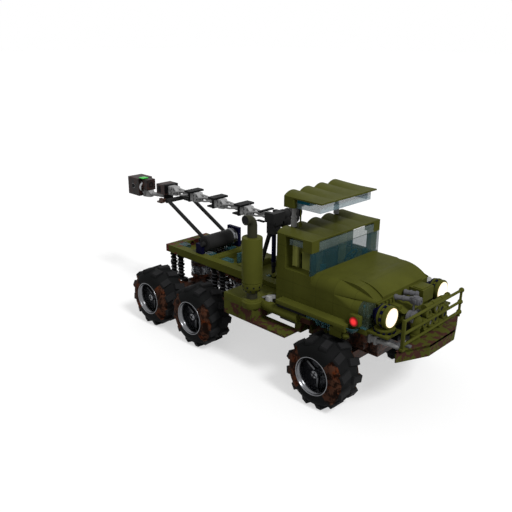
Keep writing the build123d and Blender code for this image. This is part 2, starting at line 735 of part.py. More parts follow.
# Front end: lamps on their shelves, arms, guard bars and bumper
lamp_x = hood_front + lamp_ahead
lamp_y = cab_half - lamp_inset
lamp_z = sill_top_z + lamp_over_sill
lamp_rear = lamp_x - lamp_depth
marker_x = sill_x[1] + marker_ahead
marker_z = sill_top_z + marker_radius
with BuildPart() as lamps:
    for side, hand in SIDES:
        rod((lamp_rear, side * lamp_y, lamp_z), (lamp_x - lens_wall, side * lamp_y, lamp_z),
            lamp_radius + lamp_ring)
        block((hood_front, hood_front + shelf_length), across(side, lamp_y - shelf_half, cab_half),
              (shelf_z - shelf_wall, shelf_z))
        block((lamp_rear + 1.0, lamp_x - 2.0), across(side, lamp_y - 3.0, lamp_y + 3.0),
              (shelf_z, lamp_z - lamp_radius))
        block((fender_front, hood_front), across(side, cab_inner, cab_half),
              (shelf_z - cab_wall + 2.0, shelf_z))
        block((marker_x - 4.0, marker_x + 4.0), across(side, cab_half, cab_half + marker_out - lens_wall),
              (sill_top_z, marker_z + 4.0))
save("lamp_housings", lamps.part)
with BuildPart() as head_lenses:
    for side, hand in SIDES:
        rod((lamp_x - lens_wall, side * lamp_y, lamp_z), (lamp_x, side * lamp_y, lamp_z), lamp_radius)
save("headlamp_lenses", head_lenses.part)
with BuildPart() as marker_lenses:
    for side, hand in SIDES:
        lens_y = cab_half + marker_out
        rod((marker_x, side * (lens_y - lens_wall), marker_z), (marker_x, side * lens_y, marker_z),
            marker_radius)
save("marker_lenses", marker_lenses.part)

bumper_x = hood_front + bumper_ahead
bumper_top_z = bed_low - 0.4
bumper_half = cab_half - 0.5
guard_x = bumper_x - guard_inset
rail_x = bumper_x - rail_inset
# Heights of the rails over the bumper
RAILS = (3.5, 11.2, 20.0)
hub_z = bumper_top_z + 14.6
post_y = cab_half - bar_inset
nose_half = lamp_y - lamp_radius - 3.5
nose_top_z = hood_nose_z - panel
with BuildPart() as nose:
    block((fender_front, hood_front), (-cab_inner, cab_inner), (cab_floor_z, nose_top_z))
    block((hood_front, frame_front), (-nose_half, nose_half), (cab_floor_z, cab_floor_z + nose_rise))
    with BuildSketch(Plane((0, brow_left, 0), x_dir=(1, 0, 0), z_dir=(0, -1, 0))) as brow:
        with BuildLine():
            Polyline((hood_front, cab_floor_z + nose_rise), (hood_front, nose_top_z - 1.4),
                     (hood_front + brow_reach, cab_floor_z + nose_rise), close=True)
        make_face()
    extrude(brow.sketch, amount=brow_left - brow_right)
    block((hood_front, hood_front + brow_reach - 1.0), (brow_left, nose_half),
          (cab_floor_z + nose_rise, nose_top_z + 3.0))
save("nose_block", nose.part)

# Upper arms over the brow. Columns of the table: y of the rear end, reach ahead, y of the front end, half of its head
UPPER_ARMS = ((-12.0, 12.0, -7.0, 3.0), (0.0, 10.0, 3.4, 0.0))
arm_z = frame_low + 4.0
upper_z = nose_top_z + arm_radius - 0.6
with BuildPart() as arms:
    for side, hand in SIDES:
        rod((frame_front, side * (rail_inner + 3.0), arm_z - 1.0),
            (bumper_x - 2.0, side * (rail_inner + 3.0), arm_z - 1.0),
            arm_radius - 0.2)
        rod((frame_front - 6.0, side * arm_y, arm_z), (guard_x - guard_wall, side * arm_y, arm_z), arm_radius)
        block((frame_front - 12.0, frame_front - 5.0), across(side, arm_y - 3.0, arm_y + 3.0),
              (arm_z - 3.0, arm_z + 3.0))
        block((frame_front - 10.0, frame_front - 6.0), across(side, rail_outer, arm_y - 3.0),
              (arm_z - 2.0, arm_z + 2.0))
    for rear_y, reach, front_y, head in UPPER_ARMS:
        tip = (hood_front + reach, front_y, upper_z)
        rod((hood_front + 1.0, rear_y, upper_z), tip, arm_radius)
        if head:
            block((tip[0] - 0.5, tip[0] + 2 * head), (front_y - head, front_y + head),
                  (upper_z - head, upper_z + head))
save("front_arms", arms.part)

# Guard: rails from a flat post to a round one, and the cluster of connectors that stands behind them
cluster_rear = rail_x - rail_radius - guard_wall
with BuildPart() as guard:
    block((rail_x - 3.0, rail_x + 1.6), (-post_y - 0.8, -post_y + 0.8),
          (bumper_top_z, bumper_top_z + bar_height))
    rod((rail_x, post_y, bumper_top_z), (rail_x, post_y, bumper_top_z + bar_height - 1.0), rail_radius)
    for z in RAILS:
        rod((rail_x, -post_y, bumper_top_z + z), (rail_x, post_y, bumper_top_z + z), rail_radius + 0.1)
        with Locations((rail_x, post_y, bumper_top_z + z)):
            Sphere(ball_radius)
        rod((cluster_rear + 1.6, -9.0, bumper_top_z + z), (cluster_rear + 1.6, 22.0, bumper_top_z + z),
            sleeve_radius)
    barrel_x = cluster_rear + 0.6
    rod((barrel_x, -cluster_pitch * 1.5, bumper_top_z), (barrel_x, -cluster_pitch * 1.5, bumper_top_z + 17.0),
        barrel_radius)
    for step in (-0.6, 0.5, 1.6):
        y = step * cluster_pitch
        block((cluster_rear - 1.2, rail_x), (y - 2.4, y + 2.4),
              (bumper_top_z, bumper_top_z + RAILS[-1] + 1.0))
    rod((cluster_rear - 5.5, -cluster_pitch * 1.6, hub_z), (cluster_rear, -cluster_pitch * 1.6, hub_z),
        hub_end_radius)
save("grille_guard", guard.part)
with BuildPart() as bumper:
    with BuildSketch(Plane.XY.offset(bumper_top_z - bumper_height)):
        with BuildLine():
            Polyline((guard_x - 3.0, -bumper_half), (bumper_x, -bumper_half),
                     (bumper_x + bumper_nose, -knee_half),
                     (bumper_x + bumper_nose, knee_half), (bumper_x, bumper_half), (guard_x - 3.0,
                                                                                    bumper_half), close=True)
        make_face()
    extrude(amount=bumper_height)
    with BuildSketch(Plane.XY.offset(bumper_top_z - bumper_height)):
        Rectangle(2 * (guard_x + 1.6), 2 * bumper_half - 6.4)
    extrude(amount=bumper_height - 1.6, mode=Mode.SUBTRACT)
save("bumper", bumper.part)
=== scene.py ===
# %% [markdown]
# # A brick-built toy truck with a recovery boom
# The CAD model already says where every body, joint and main solid is. This lesson dresses it: first
# the camera and the light, then the finishes, then the pieces that make a moulded plastic toy look
# like one. Everything is in metres and in the CAD model's own frame, so nothing has to be fitted.

# %% Load the frame
import math

import bmesh
import bpy
from mathutils import Matrix, Vector


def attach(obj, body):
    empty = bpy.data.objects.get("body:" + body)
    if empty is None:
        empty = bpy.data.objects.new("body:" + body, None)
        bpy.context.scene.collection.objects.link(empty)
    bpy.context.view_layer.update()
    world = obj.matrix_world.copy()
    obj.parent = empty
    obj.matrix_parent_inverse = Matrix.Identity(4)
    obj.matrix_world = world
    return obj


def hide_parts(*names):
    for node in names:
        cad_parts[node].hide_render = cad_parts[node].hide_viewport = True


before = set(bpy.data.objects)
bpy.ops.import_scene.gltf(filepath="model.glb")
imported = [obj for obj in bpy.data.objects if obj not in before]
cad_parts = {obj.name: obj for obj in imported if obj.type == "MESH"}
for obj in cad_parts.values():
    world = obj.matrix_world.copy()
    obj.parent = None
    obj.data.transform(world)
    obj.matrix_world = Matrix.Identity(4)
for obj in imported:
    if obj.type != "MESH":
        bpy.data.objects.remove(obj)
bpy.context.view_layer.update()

MM = 0.001
SIDES = ((1, "left"), (-1, "right"))

# %% [markdown]
# ## Camera and light
# The camera stands ahead of the truck on its right, a little above it. Its place came from lining up
# the eight-millimetre brick pitch with the picture, so the script only repeats the numbers.
# The light is one broad soft sun from ahead and above, with a dim sky for everything it doesn't reach.

# %% Camera
AZIMUTH, ELEVATION, ROLL = (math.radians(a) for a in (45.35, 19.57, 0.34))
CAMERA_AT = Vector((344.0, -350.4, 241.9)) * MM
FOCAL_PIXELS, FRAME_PIXELS = 627.0, 512.0
back = Vector((math.cos(AZIMUTH) * math.cos(ELEVATION), -math.sin(AZIMUTH) * math.cos(ELEVATION),
               math.sin(ELEVATION)))
right = Vector((0, 0, 1)).cross(back).normalized()
up = back.cross(right)
right_turned = right * math.cos(ROLL) + up * math.sin(ROLL)
up_turned = up * math.cos(ROLL) - right * math.sin(ROLL)
camera_data = bpy.data.cameras.new("camera")
camera_data.sensor_width = 36.0
camera_data.lens = FOCAL_PIXELS / FRAME_PIXELS * camera_data.sensor_width
camera_data.clip_start, camera_data.clip_end = 0.01, 50.0
camera = bpy.data.objects.new("camera", camera_data)
bpy.context.collection.objects.link(camera)
turn = Matrix((right_turned, up_turned, back)).transposed()
camera.matrix_world = Matrix.Translation(CAMERA_AT) @ turn.to_4x4()
bpy.context.scene.camera = camera
bpy.context.scene.view_settings.view_transform = "Standard"
print("camera", tuple(round(c, 3) for c in camera.location), "lens", round(camera_data.lens, 2))

# %% [markdown]
# ## Wires as sums
# A material is a net of nodes. Written out link by link it is long and hard to read, so two small
# helpers are made first. `Wire` wraps a socket, so that `1 - mask * 0.4` adds the Math nodes by
# itself. `Finish` makes the material, adds any other node with one method, and joins the result.

# %% Shader helpers
LOOKS_UP = 0.35      # the least rise of a normal that counts as upward


class Wire:
    """A number socket that can be used in sums."""

    def __init__(self, finish, socket):
        self.finish, self.socket = finish, socket

    def combine(self, operation, first, second=0.0):
        return self.finish.node("ShaderNodeMath", {"operation": operation}, {0: first, 1: second})

    def __add__(self, other):
        return self.combine("ADD", self, other)

    def __sub__(self, other):
        return self.combine("SUBTRACT", self, other)

    def __mul__(self, other):
        return self.combine("MULTIPLY", self, other)

    def __radd__(self, other):
        return self.combine("ADD", other, self)

    def __rsub__(self, other):
        return self.combine("SUBTRACT", other, self)

    def __rmul__(self, other):
        return self.combine("MULTIPLY", other, self)

    def __gt__(self, other):
        return self.combine("GREATER_THAN", self, other)

    def __lt__(self, other):
        return self.combine("LESS_THAN", self, other)

    def size(self):
        return self.combine("ABSOLUTE", self)

    def root(self):
        return self.combine("SQRT", self)

    def most(self, other):
        return self.combine("MAXIMUM", self, other)


class Finish:
    """A material that is put together from nodes."""

    def __init__(self, name):
        self.material = bpy.data.materials.new(name)
        self.material.use_nodes = True
        self.tree = self.material.node_tree
        self.tree.nodes.clear()
        self.output = self.tree.nodes.new("ShaderNodeOutputMaterial")

    def plug(self, socket, value):
        if isinstance(value, Wire):
            self.tree.links.new(value.socket, socket)
        elif value is not None:
            socket.default_value = value

    def node(self, kind, settings=None, inputs=None, output=0):
        made = self.tree.nodes.new(kind)
        for name, value in (settings or {}).items():
            setattr(made, name, value)
        for name, value in (inputs or {}).items():
            self.plug(made.inputs[name], value)
        return Wire(self, made.outputs[output])

    def place(self):
        return self.node("ShaderNodeTexCoord", output="Object")

    def axes(self, place):
        return [self.node("ShaderNodeSeparateXYZ", inputs={0: place}, output=i) for i in range(3)]

    def noise(self, place, scale, detail=3.0, roughness=0.55):
        return self.node("ShaderNodeTexNoise", inputs={
            "Vector": place, "Scale": scale, "Detail": detail, "Roughness": roughness})

    def step(self, value, low, high):
        """0 below low, 1 above high, smooth between them."""
        return self.node("ShaderNodeMapRange", {"interpolation_type": "SMOOTHSTEP"},
                         {"Value": value, "From Min": low, "From Max": high})

    def blend(self, share, first, second):
        """Colour first where share is 0, second where it is 1."""
        made = self.tree.nodes.new("ShaderNodeMix")
        made.data_type = "RGBA"
        self.plug(made.inputs[0], share)
        self.plug(made.inputs[6], first)
        self.plug(made.inputs[7], second)
        return Wire(self, made.outputs[2])

    def bump(self, height, strength, distance):
        return self.node("ShaderNodeBump", inputs={
            "Height": height, "Strength": strength, "Distance": distance})

    def level(self, normal, share):
        """Turn a normal that looks upward further up, by a share, so that low humps shade evenly."""
        true_normal = self.node("ShaderNodeNewGeometry", output="Normal")
        rise = self.node("ShaderNodeSeparateXYZ", inputs={0: true_normal}, output=2)
        share = (rise > LOOKS_UP) * share
        turned = self.tree.nodes.new("ShaderNodeMix")
        turned.data_type = "VECTOR"
        self.plug(turned.inputs[0], share)
        self.plug(turned.inputs[4], normal)
        self.plug(turned.inputs[5], (0.0, 0.0, 1.0))
        return Wire(self, turned.outputs[1])

    def skin(self, color, roughness, **others):
        """Join everything in one Principled shader and return the material."""
        shader = self.tree.nodes.new("ShaderNodeBsdfPrincipled")
        self.plug(shader.inputs["Base Color"], color)
        self.plug(shader.inputs["Roughness"], roughness)
        for name, value in others.items():
            self.plug(shader.inputs[name.replace("_", " ")], value)
        self.tree.links.new(shader.outputs[0], self.output.inputs[0])
        return self.material


def ink(red, green, blue, alpha=1.0):
    """A linear colour from screen values between 0 and 255."""
    parts = [c / 255 for c in (red, green, blue)]
    return (*(c / 12.92 if c <= 0.04045 else ((c + 0.055) / 1.055) ** 2.4 for c in parts), alpha)


def tone(value):
    """A grey with no tint."""
    return (value, value, value, 1)


def times(color, factor):
    """A colour made darker or lighter, opaque and never above full."""
    return tuple(min(1.0, c * factor) for c in color[:3]) + (1.0,)


print("helpers ready:", ink(75, 77, 31))

# %% [markdown]
# ## Floor, sky and sun
# A pale floor keeps the truck's shadow. What the camera, a mirror or a pane sees of the sky is plain
# white, but the light that falls on the truck is dimmer: Light Path tells the two apart.

# %% Stage
SKY_LIGHT, WHITE_SKY, SUN_LIGHT, SUN_SPREAD = 0.52, 1.0, 2.1, math.radians(14)
SUN_FROM, FLOOR_HALF = (0.64, -0.10, 0.76), 8
world = bpy.data.worlds.new("sky")
bpy.context.scene.world = world
world.use_nodes = True
sky = world.node_tree
path = sky.nodes.new("ShaderNodeLightPath")
seen = path.outputs["Is Camera Ray"]
for kind in ("Is Transmission Ray", "Is Glossy Ray"):
    either = sky.nodes.new("ShaderNodeMath")
    either.operation = "MAXIMUM"
    sky.links.new(seen, either.inputs[0])
    sky.links.new(path.outputs[kind], either.inputs[1])
    seen = either.outputs[0]
level = sky.nodes.new("ShaderNodeMapRange")
sky.links.new(seen, level.inputs["Value"])
level.inputs["To Min"].default_value, level.inputs["To Max"].default_value = SKY_LIGHT, WHITE_SKY
background = sky.nodes["Background"]
background.inputs["Color"].default_value = (1, 1, 1, 1)
sky.links.new(level.outputs[0], background.inputs["Strength"])

sun_data = bpy.data.lights.new("sun", "SUN")
sun_data.energy, sun_data.angle = SUN_LIGHT, SUN_SPREAD
sun = bpy.data.objects.new("sun", sun_data)
bpy.context.collection.objects.link(sun)
sun.rotation_mode = "QUATERNION"
sun.rotation_quaternion = Vector(SUN_FROM).to_track_quat("Z", "Y")

floor_mesh = bpy.data.meshes.new("floor")
floor_mesh.from_pydata([(x * FLOOR_HALF, y * FLOOR_HALF, 0) for x, y in ((-1, -1), (1, -1), (1, 1), (-1, 1))],
                       [], [(0, 1, 2, 3)])
floor = bpy.data.objects.new("floor", floor_mesh)
bpy.context.collection.objects.link(floor)
ground = Finish("pale_floor")
camera_ray, glossy_ray, clear_ray = (ground.node("ShaderNodeLightPath", output=name) for name in (
    "Is Camera Ray", "Is Glossy Ray", "Is Transmission Ray"))
shown = camera_ray.most(glossy_ray).most(clear_ray)
grain = ground.noise(ground.place(), 3.0, 2.0)
half = ground.blend(grain, tone(0.48), tone(0.5))
glow = ground.blend(shown, tone(0.0), tone(0.55))
floor_mesh.materials.append(ground.skin(ground.blend(shown, tone(0.22), half), 0.9, Specular_IOR_Level=0.0,
                                        Emission_Color=glow, Emission_Strength=1.0))
print("stage ready")

# %% [markdown]
# ## Moulded plastic
# A toy brick is one colour all through. What the eye reads as plastic is small: a faint flow pattern
# from the mould, tiny scuffs in the gloss, and a hairline where two bricks meet. The olive and grey
# plastics are one recipe with other colours. Hairlines are given as planes, by axis and place.

# %% Plastic
HAIRLINE = 0.11      # half the width in mm of the dark line between two bricks


def plastic(name, color, rough=0.42, seams=(), patches=None, scuff=0.1, gloss=0.012, only=None, flat=0.0):
    """Moulded plastic. seams: (axis, place in mm). patches: a second colour printed in blotches, which
    only = (axis, low, high) keeps to a part of the piece. flat: how far shading of round tops is evened."""
    finish = Finish(name)
    place = finish.place()
    flow = finish.noise(place, 45.0, 3.0)
    fine = finish.noise(place, 900.0, 2.0)
    tint = finish.blend(finish.step(flow, 0.3, 0.7), times(color, 1 - scuff), times(color, 1 + scuff))
    if patches:
        wide = finish.noise(place, 150.0, 4.0, 0.68)
        specks = finish.noise(place, 520.0, 2.0)
        mask = finish.step(wide + 0.25 * specks, 0.62, 0.66)
        if only:
            along = finish.axes(place)["xyz".index(only[0])]
            mask = mask * (along > only[1] * MM) * (along < only[2] * MM)
        tint = finish.blend(mask, tint, patches)
    axes = finish.axes(place)
    lines = None
    for axis, at in seams:
        near = (axes["xyz".index(axis)] - at * MM).size() < HAIRLINE * MM
        lines = near if lines is None else lines.most(near)
    height = fine * 0.35 + flow * 0.3
    if lines is not None:
        tint = finish.blend(lines * 0.6, tint, times(color, 0.35))
        height = height - lines
    scratches = finish.noise(place, 260.0, 4.0)
    roughness = rough + 0.16 * (scratches - 0.5) + 0.06 * (fine - 0.5)
    bump = finish.bump(height, 0.35, 0.06 * MM)
    if flat:
        bump = finish.level(bump, flat)
    return finish.skin(tint, roughness, Normal=bump, Specular_IOR_Level=gloss)


OLIVE = ink(74, 76, 29)
olive = plastic("olive_plastic", OLIVE)
olive_bed = plastic("olive_bed_plastic", OLIVE, seams=[("x", x) for x in (-77.4, -45.5, -13.6, 18.4)],
                    patches=ink(84, 42, 36), only=("x", -94.0, -78.0))
olive_roof = plastic("olive_roof_plastic", OLIVE, seams=[("y", y) for y in (-24, -8, 8, 24)], flat=0.85)
olive_hat = plastic("olive_hat_plastic", OLIVE, seams=[("y", y) for y in (-16, 0, 16)], flat=0.85)
# A lighter olive for the cab's lining: painted light, standing in for the light that the roof keeps out.
olive_painted_light = plastic("olive_painted_light_plastic", ink(168, 171, 92))
olive_cab = plastic("olive_cab_plastic", OLIVE,
                    seams=(("x", 74.2), ("z", 101.4), ("z", 93.4), ("z", 66.6), ("z", 76.2)))
olive_flank = plastic("olive_flank_plastic", OLIVE,
                      seams=(("x", 95.0), ("x", 110.0), ("x", 125.0), ("z", 71.9)))
camo = plastic("printed_camouflage", ink(60, 62, 27), patches=ink(58, 36, 30), rough=0.5)
camo_light = plastic("printed_camouflage_top", ink(72, 74, 30), patches=ink(66, 42, 36), rough=0.5)
black = plastic("black_plastic", ink(17, 17, 18), rough=0.45, scuff=0.2, gloss=0.03)
charcoal = plastic("charcoal_plastic", ink(37, 37, 37), rough=0.45, scuff=0.12, gloss=0.03)
pipe_grey = plastic("pipe_grey_plastic", ink(52, 52, 40), rough=0.45, scuff=0.12, gloss=0.03)
grey = plastic("grey_plastic", ink(92, 92, 95), rough=0.4, scuff=0.08)
bone = plastic("bone_grey_plastic", ink(150, 150, 150), rough=0.45, scuff=0.15)
navy = plastic("navy_plastic", ink(13, 13, 40), rough=0.35)
print("plastics ready")

# %% [markdown]
# ## Worn brown, rubber and chrome
# The brown bricks are printed with rust: a light brown broken up by dark cracks. Rubber is almost
# black and dull, and lighter out towards the tread. The tyre walls carry two brown fans, ahead of and
# behind the rim, so their rubber reads a `wheel_place` attribute: the place as seen from the hub.

# %% Brown, rubber, chrome
FAN_HALF = math.radians(47)      # half of a brown fan's angle
FAN_FROM, FAN_REACH = 9.2, 22.9      # in mm: the least distance from the middle plane, the largest radius


def rust_tone(finish, place, light=ink(68, 44, 33), dark=ink(5, 2, 1), warm=ink(84, 38, 14)):
    """Brown with dark cracks, and the noise that bends them, for roughness and height."""
    cells = finish.node("ShaderNodeTexVoronoi", {"feature": "DISTANCE_TO_EDGE"},
                        {"Vector": place, "Scale": 330.0})
    bent = finish.noise(place, 300.0, 5.0, 0.65)
    cracks = finish.step(bent, 0.50, 0.57) * finish.step(cells, 0.36, 0.04)
    blotches = finish.step(finish.noise(place, 190.0, 4.0), 0.51, 0.60)
    tint = finish.blend(finish.step(finish.noise(place, 120.0, 3.0), 0.45, 0.7), light, warm)
    tint = finish.blend((cracks * 0.85).most(blotches * 0.9), tint, dark)
    return tint, bent


def worn_brown(name, **tones):
    finish = Finish(name)
    tint, bent = rust_tone(finish, finish.place(), **tones)
    return finish.skin(tint, 0.62 - 0.2 * bent, Normal=finish.bump(bent, 0.5, 0.12 * MM),
                       Specular_IOR_Level=0.2)


def rubber(name):
    finish = Finish(name)
    around = finish.node("ShaderNodeAttribute", {"attribute_name": "wheel_place"}, output=1)
    x, y, z = finish.axes(around)
    place = finish.place()
    reach = (x * x + z * z).root()
    angle = x.combine("ARCTAN2", z.size(), x.size())
    wobble = 0.05 * (finish.noise(place, 500.0, 2.0) - 0.5)
    fan = ((angle + wobble) < FAN_HALF) * (y.size() > FAN_FROM * MM) * (reach < FAN_REACH * MM)
    tint, bent = rust_tone(finish, place)
    # The rubber turns lighter from 22 to 25 mm out from the hub, all round the wheel.
    toward_tread = finish.step(reach, 22.0 * MM, 25.0 * MM)
    dust = finish.noise(place, 60.0, 4.0)
    rubber_tone = finish.blend(toward_tread * 0.75 + 0.25 * dust, ink(15, 16, 16), ink(38, 38, 39))
    fine = finish.noise(place, 1300.0, 2.0)
    return finish.skin(finish.blend(fan, rubber_tone, tint), 0.66 + 0.15 * (dust - 0.5), Specular_IOR_Level=0.03,
                       Normal=finish.bump(fine + bent * fan, 0.4, 0.08 * MM))


def plated(name, color, rough):
    finish = Finish(name)
    place = finish.place()
    brushed = finish.noise(place, 700.0, 3.0)
    haze = finish.noise(place, 90.0, 3.0)
    tint = finish.blend(finish.step(haze, 0.35, 0.75), color, times(color, 0.8))
    return finish.skin(tint, rough + 0.1 * (haze - 0.5), Metallic=1.0,
                       Normal=finish.bump(brushed, 0.12, 0.03 * MM))


brown = worn_brown("worn_brown_plastic")
dark_brown = worn_brown("dark_brown_plastic", light=ink(34, 14, 10), warm=ink(52, 24, 14))
tyre_rubber = rubber("tyre_rubber")
chrome = plated("chrome_plating", ink(112, 113, 116), 0.24)
dull_chrome = plated("dull_chrome_plating", ink(80, 81, 83), 0.3)
bright_chrome = plated("bright_chrome_plating", ink(168, 169, 172), 0.16)
print("brown, rubber and chrome ready")

# %% [markdown]
# ## Clear blue and lamp lenses
# Clear plastic is drawn as a thin tinted film: half of the light behind comes through, and the rest
# is the dim blue of the plastic. The toy's lamp lenses are plain plastic; their glow, white or red and
# brightest at the centre, is painted light. The distance to the lamp's own axis gives that fall-off.

# %% Clear and glowing plastic
def clear_plastic(name, color, share):
    finish = Finish(name)
    place = finish.place()
    streak = finish.noise(place, 120.0, 3.0)
    tint = finish.blend(streak, color, times(color, 1.5))
    return finish.skin(tint, 0.12 + 0.1 * streak, Alpha=share + 0.08 * (streak - 0.5),
                       Normal=finish.bump(streak, 0.05, 0.05 * MM), Specular_IOR_Level=0.06)


def painted_glow(name, core, rim, facing, centre, radius, strength):
    """A lens with a painted glow, brightest at its centre. centre: place in mm of the lamp's axis: to the
    side or ahead, and height.
    """
    finish = Finish(name)
    x, y, z = finish.axes(finish.place())
    sideways = x if facing == "side" else y.size()
    wide, high = sideways - centre[0] * MM, z - centre[1] * MM
    reach = (wide * wide + high * high).root()
    ridges = finish.node("ShaderNodeTexWave", {"wave_type": "RINGS"},
                         {"Vector": finish.place(), "Scale": 90.0})
    edge = finish.step(reach, radius * 0.35 * MM, radius * 0.95 * MM)
    return finish.skin(tone(0.0), 0.25 + 0.1 * ridges, Emission_Color=finish.blend(edge, core, rim),
                       Emission_Strength=strength, Specular_IOR_Level=0.1)


clear_blue = clear_plastic("clear_blue_plastic", (0.018, 0.050, 0.058, 1), 0.5)
clear_brick = clear_plastic("clear_blue_brick", (0.030, 0.085, 0.095, 1), 0.58)
clear_lens = clear_plastic("clear_corner_lens", (0.050, 0.066, 0.040, 1), 0.5)
# Painted glow: the toy's lenses are plain plastic, made to shine white and red by emission.
white_lens = painted_glow("white_lamp_lens", tone(1), (1, 0.80, 0.55, 1), "front", (31.9, 71.8), 6.6, 1.6)
red_lens = painted_glow("red_lamp_lens", ink(255, 52, 54), ink(120, 4, 12), "side", (130.3, 66.2), 3.2, 1.0)
deep_blue = plastic("deep_blue_plastic", ink(28, 110, 130), rough=0.3)
clear_pale = clear_plastic("clear_pale_plastic", (0.10, 0.135, 0.125, 1), 0.5)
hat_blue = clear_plastic("clear_hat_plastic", (0.16, 0.24, 0.27, 1), 0.55)
print("clear and glowing plastics ready")

# %% [markdown]
# ## Finishes on the CAD nodes
# The solids whose shape is already right only need a finish. A table says which node gets which.

# %% Assign finishes
FINISHES = {name: finish for finish, names in (
    (brown, "axle_middle axle_rear axle_front knuckle_left knuckle_right"),
    (black, "frame_rails shock_absorbers steering_wheel boom_plates"),
    (chrome, "gear_drums drive_shaft"),
    (olive, "cab_floor seats sills exhaust_stack lamp_housings nose_block grille_guard"),
    (olive_bed, "bed_frame"), (olive_cab, "cab_sides cab_rear_wall"), (olive_roof, "cab_roof"),
    (olive_hat, "hat_roof"), (olive_flank, "hood fenders"),
    (clear_blue, "windscreen dashboard"), (clear_brick, "bed_tiles under_bricks"), (hat_blue, "hat_glass"),
    (grey, "hat_posts front_arms boom_links"), (navy, "drum_brackets"), (dark_brown, "boom_blocks"),
    (charcoal, "exhaust_pipes mast prop_drum prop_frame"),
    (camo, "arch_blocks"), (camo_light, "side_boxes bumper"),
    (white_lens, "headlamp_lenses"), (red_lens, "marker_lenses"), (clear_lens, "corner_lenses"),
) for name in names.split()}
for name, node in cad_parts.items():
    finish = FINISHES.get(name)
    if name.startswith("tyre_"):
        finish = tyre_rubber
    if name.startswith("rim_"):
        finish = chrome
    node.data.materials.clear()
    node.data.materials.append(finish)
print("finished nodes:", len(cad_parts))

# %% [markdown]
# ## Making solids by hand
# Single pieces are built as meshes from a few basic shapes: a brick with a small round on its edges,
# a turned shape, and a tube along points. Several of them are joined in one mesh, so a piece that is
# one thing on the toy is one object here. Sizes are given in millimetres.

# %% Mesh helpers
AHEAD, LEFT, RIGHT, UP = (1, 0, 0), (0, 1, 0), (0, -1, 0), (0, 0, 1)


def skin_between(part, low, high):
    """Faces between two rings with the same number of vertices."""
    for i in range(len(low)):
        j = (i + 1) % len(low)
        part.faces.new((low[i], low[j], high[j], high[i]))


class Shape:
    """A mesh that is put together from basic shapes, in millimetres."""

    def __init__(self):
        self.mesh = bmesh.new()

    def join(self, part):
        bmesh.ops.recalc_face_normals(part, faces=part.faces)
        kept = bpy.data.meshes.new("part")
        part.to_mesh(kept)
        part.free()
        self.mesh.from_mesh(kept)
        bpy.data.meshes.remove(kept)
        return self

    def brick(self, x, y, z, edge=0.25):
        """A box between two places on each axis, given in either order."""
        x, y, z = sorted(x), sorted(y), sorted(z)
        part = bmesh.new()
        bmesh.ops.create_cube(part, size=1.0)
        size = [b - a for a, b in (x, y, z)]
        bmesh.ops.scale(part, verts=part.verts, vec=size)
        bmesh.ops.bevel(part, geom=part.edges[:], offset=min(edge, min(size) * 0.4), segments=2,
                        affect="EDGES", profile=0.5)
        bmesh.ops.translate(part, verts=part.verts, vec=[(a + b) / 2 for a, b in (x, y, z)])
        return self.join(part)

    def turned(self, at, axis, profile, segments=32):
        """A shape of revolution. profile: (distance along the axis, radius), from one end to the other."""
        part = bmesh.new()
        along = Vector(axis).normalized()
        side = along.orthogonal().normalized()
        over = along.cross(side)
        rings = []
        for distance, radius in profile:
            middle = Vector(at) + along * distance
            if radius < 1e-6:
                rings.append([part.verts.new(middle)])
                continue
            rings.append([part.verts.new(middle + radius * (side * math.cos(a) + over * math.sin(a)))
                          for a in (2 * math.pi * i / segments for i in range(segments))])
        for low, high in zip(rings, rings[1:]):
            for i in range(segments):
                j = (i + 1) % segments
                corners = [low[i % len(low)], low[j % len(low)], high[j % len(high)], high[i % len(high)]]
                corners = list(dict.fromkeys(corners))
                if len(corners) > 2:
                    part.faces.new(corners)
        for ring in (rings[0], rings[-1]):
            if len(ring) > 1 and profile[0] != profile[-1]:
                part.faces.new(ring)
        bmesh.ops.remove_doubles(part, verts=part.verts, dist=1e-5)
        return self.join(part)

    def rod(self, start, end, radius, segments=16, edge=0.2):
        """A round bar with slightly rounded ends."""
        axis = Vector(end) - Vector(start)
        length = axis.length
        profile = [(0, radius - edge), (edge, radius), (length - edge, radius), (length, radius - edge)]
        return self.turned(start, axis, profile, segments)

    def ball(self, at, radius, segments=16):
        slices = [math.pi * i / 8 for i in range(9)]
        profile = [(-radius * math.cos(a), radius * math.sin(a)) for a in slices]
        return self.turned(at, (0, 0, 1), profile, segments)

    def tube(self, points, radius, segments=16):
        """A round bar along a line of points."""
        part = bmesh.new()
        points = [Vector(p) for p in points]
        rings = []
        side = (points[1] - points[0]).normalized().orthogonal()
        for i, point in enumerate(points):
            ahead = (points[min(i + 1, len(points) - 1)] - points[max(i - 1, 0)]).normalized()
            if i:
                side = side - ahead * side.dot(ahead)
            side = side.normalized()
            over = ahead.cross(side)
            rings.append([part.verts.new(point + radius * (side * math.cos(a) + over * math.sin(a)))
                          for a in (2 * math.pi * k / segments for k in range(segments))])
        for low, high in zip(rings, rings[1:]):
            skin_between(part, low, high)
        part.faces.new(rings[0])
        part.faces.new(rings[-1])
        return self.join(part)

    def loft(self, rings):
        """A skin over rings that all have the same number of points."""
        part = bmesh.new()
        rows = [[part.verts.new(point) for point in ring] for ring in rings]
        for low, high in zip(rows, rows[1:]):
            skin_between(part, low, high)
        part.faces.new(rows[0])
        part.faces.new(rows[-1])
        return self.join(part)

    def mirrored(self):
        """Add the same again on the other side of the truck."""
        copied = bmesh.ops.duplicate(self.mesh,
                                     geom=self.mesh.verts[:] + self.mesh.edges[:] + self.mesh.faces[:])
        verts = [g for g in copied["geom"] if isinstance(g, bmesh.types.BMVert)]
        faces = [g for g in copied["geom"] if isinstance(g, bmesh.types.BMFace)]
        bmesh.ops.scale(self.mesh, verts=verts, vec=(1, -1, 1))
        bmesh.ops.reverse_faces(self.mesh, faces=faces)
        return self

    def piece(self, name, finish, body="chassis", angle=32.0):
        """Turn the shape into an object in metres that rides on a body."""
        bmesh.ops.scale(self.mesh, verts=self.mesh.verts, vec=(MM, MM, MM))
        data = bpy.data.meshes.new(name)
        self.mesh.to_mesh(data)
        self.mesh.free()
        return show(name, data, finish, body, angle)


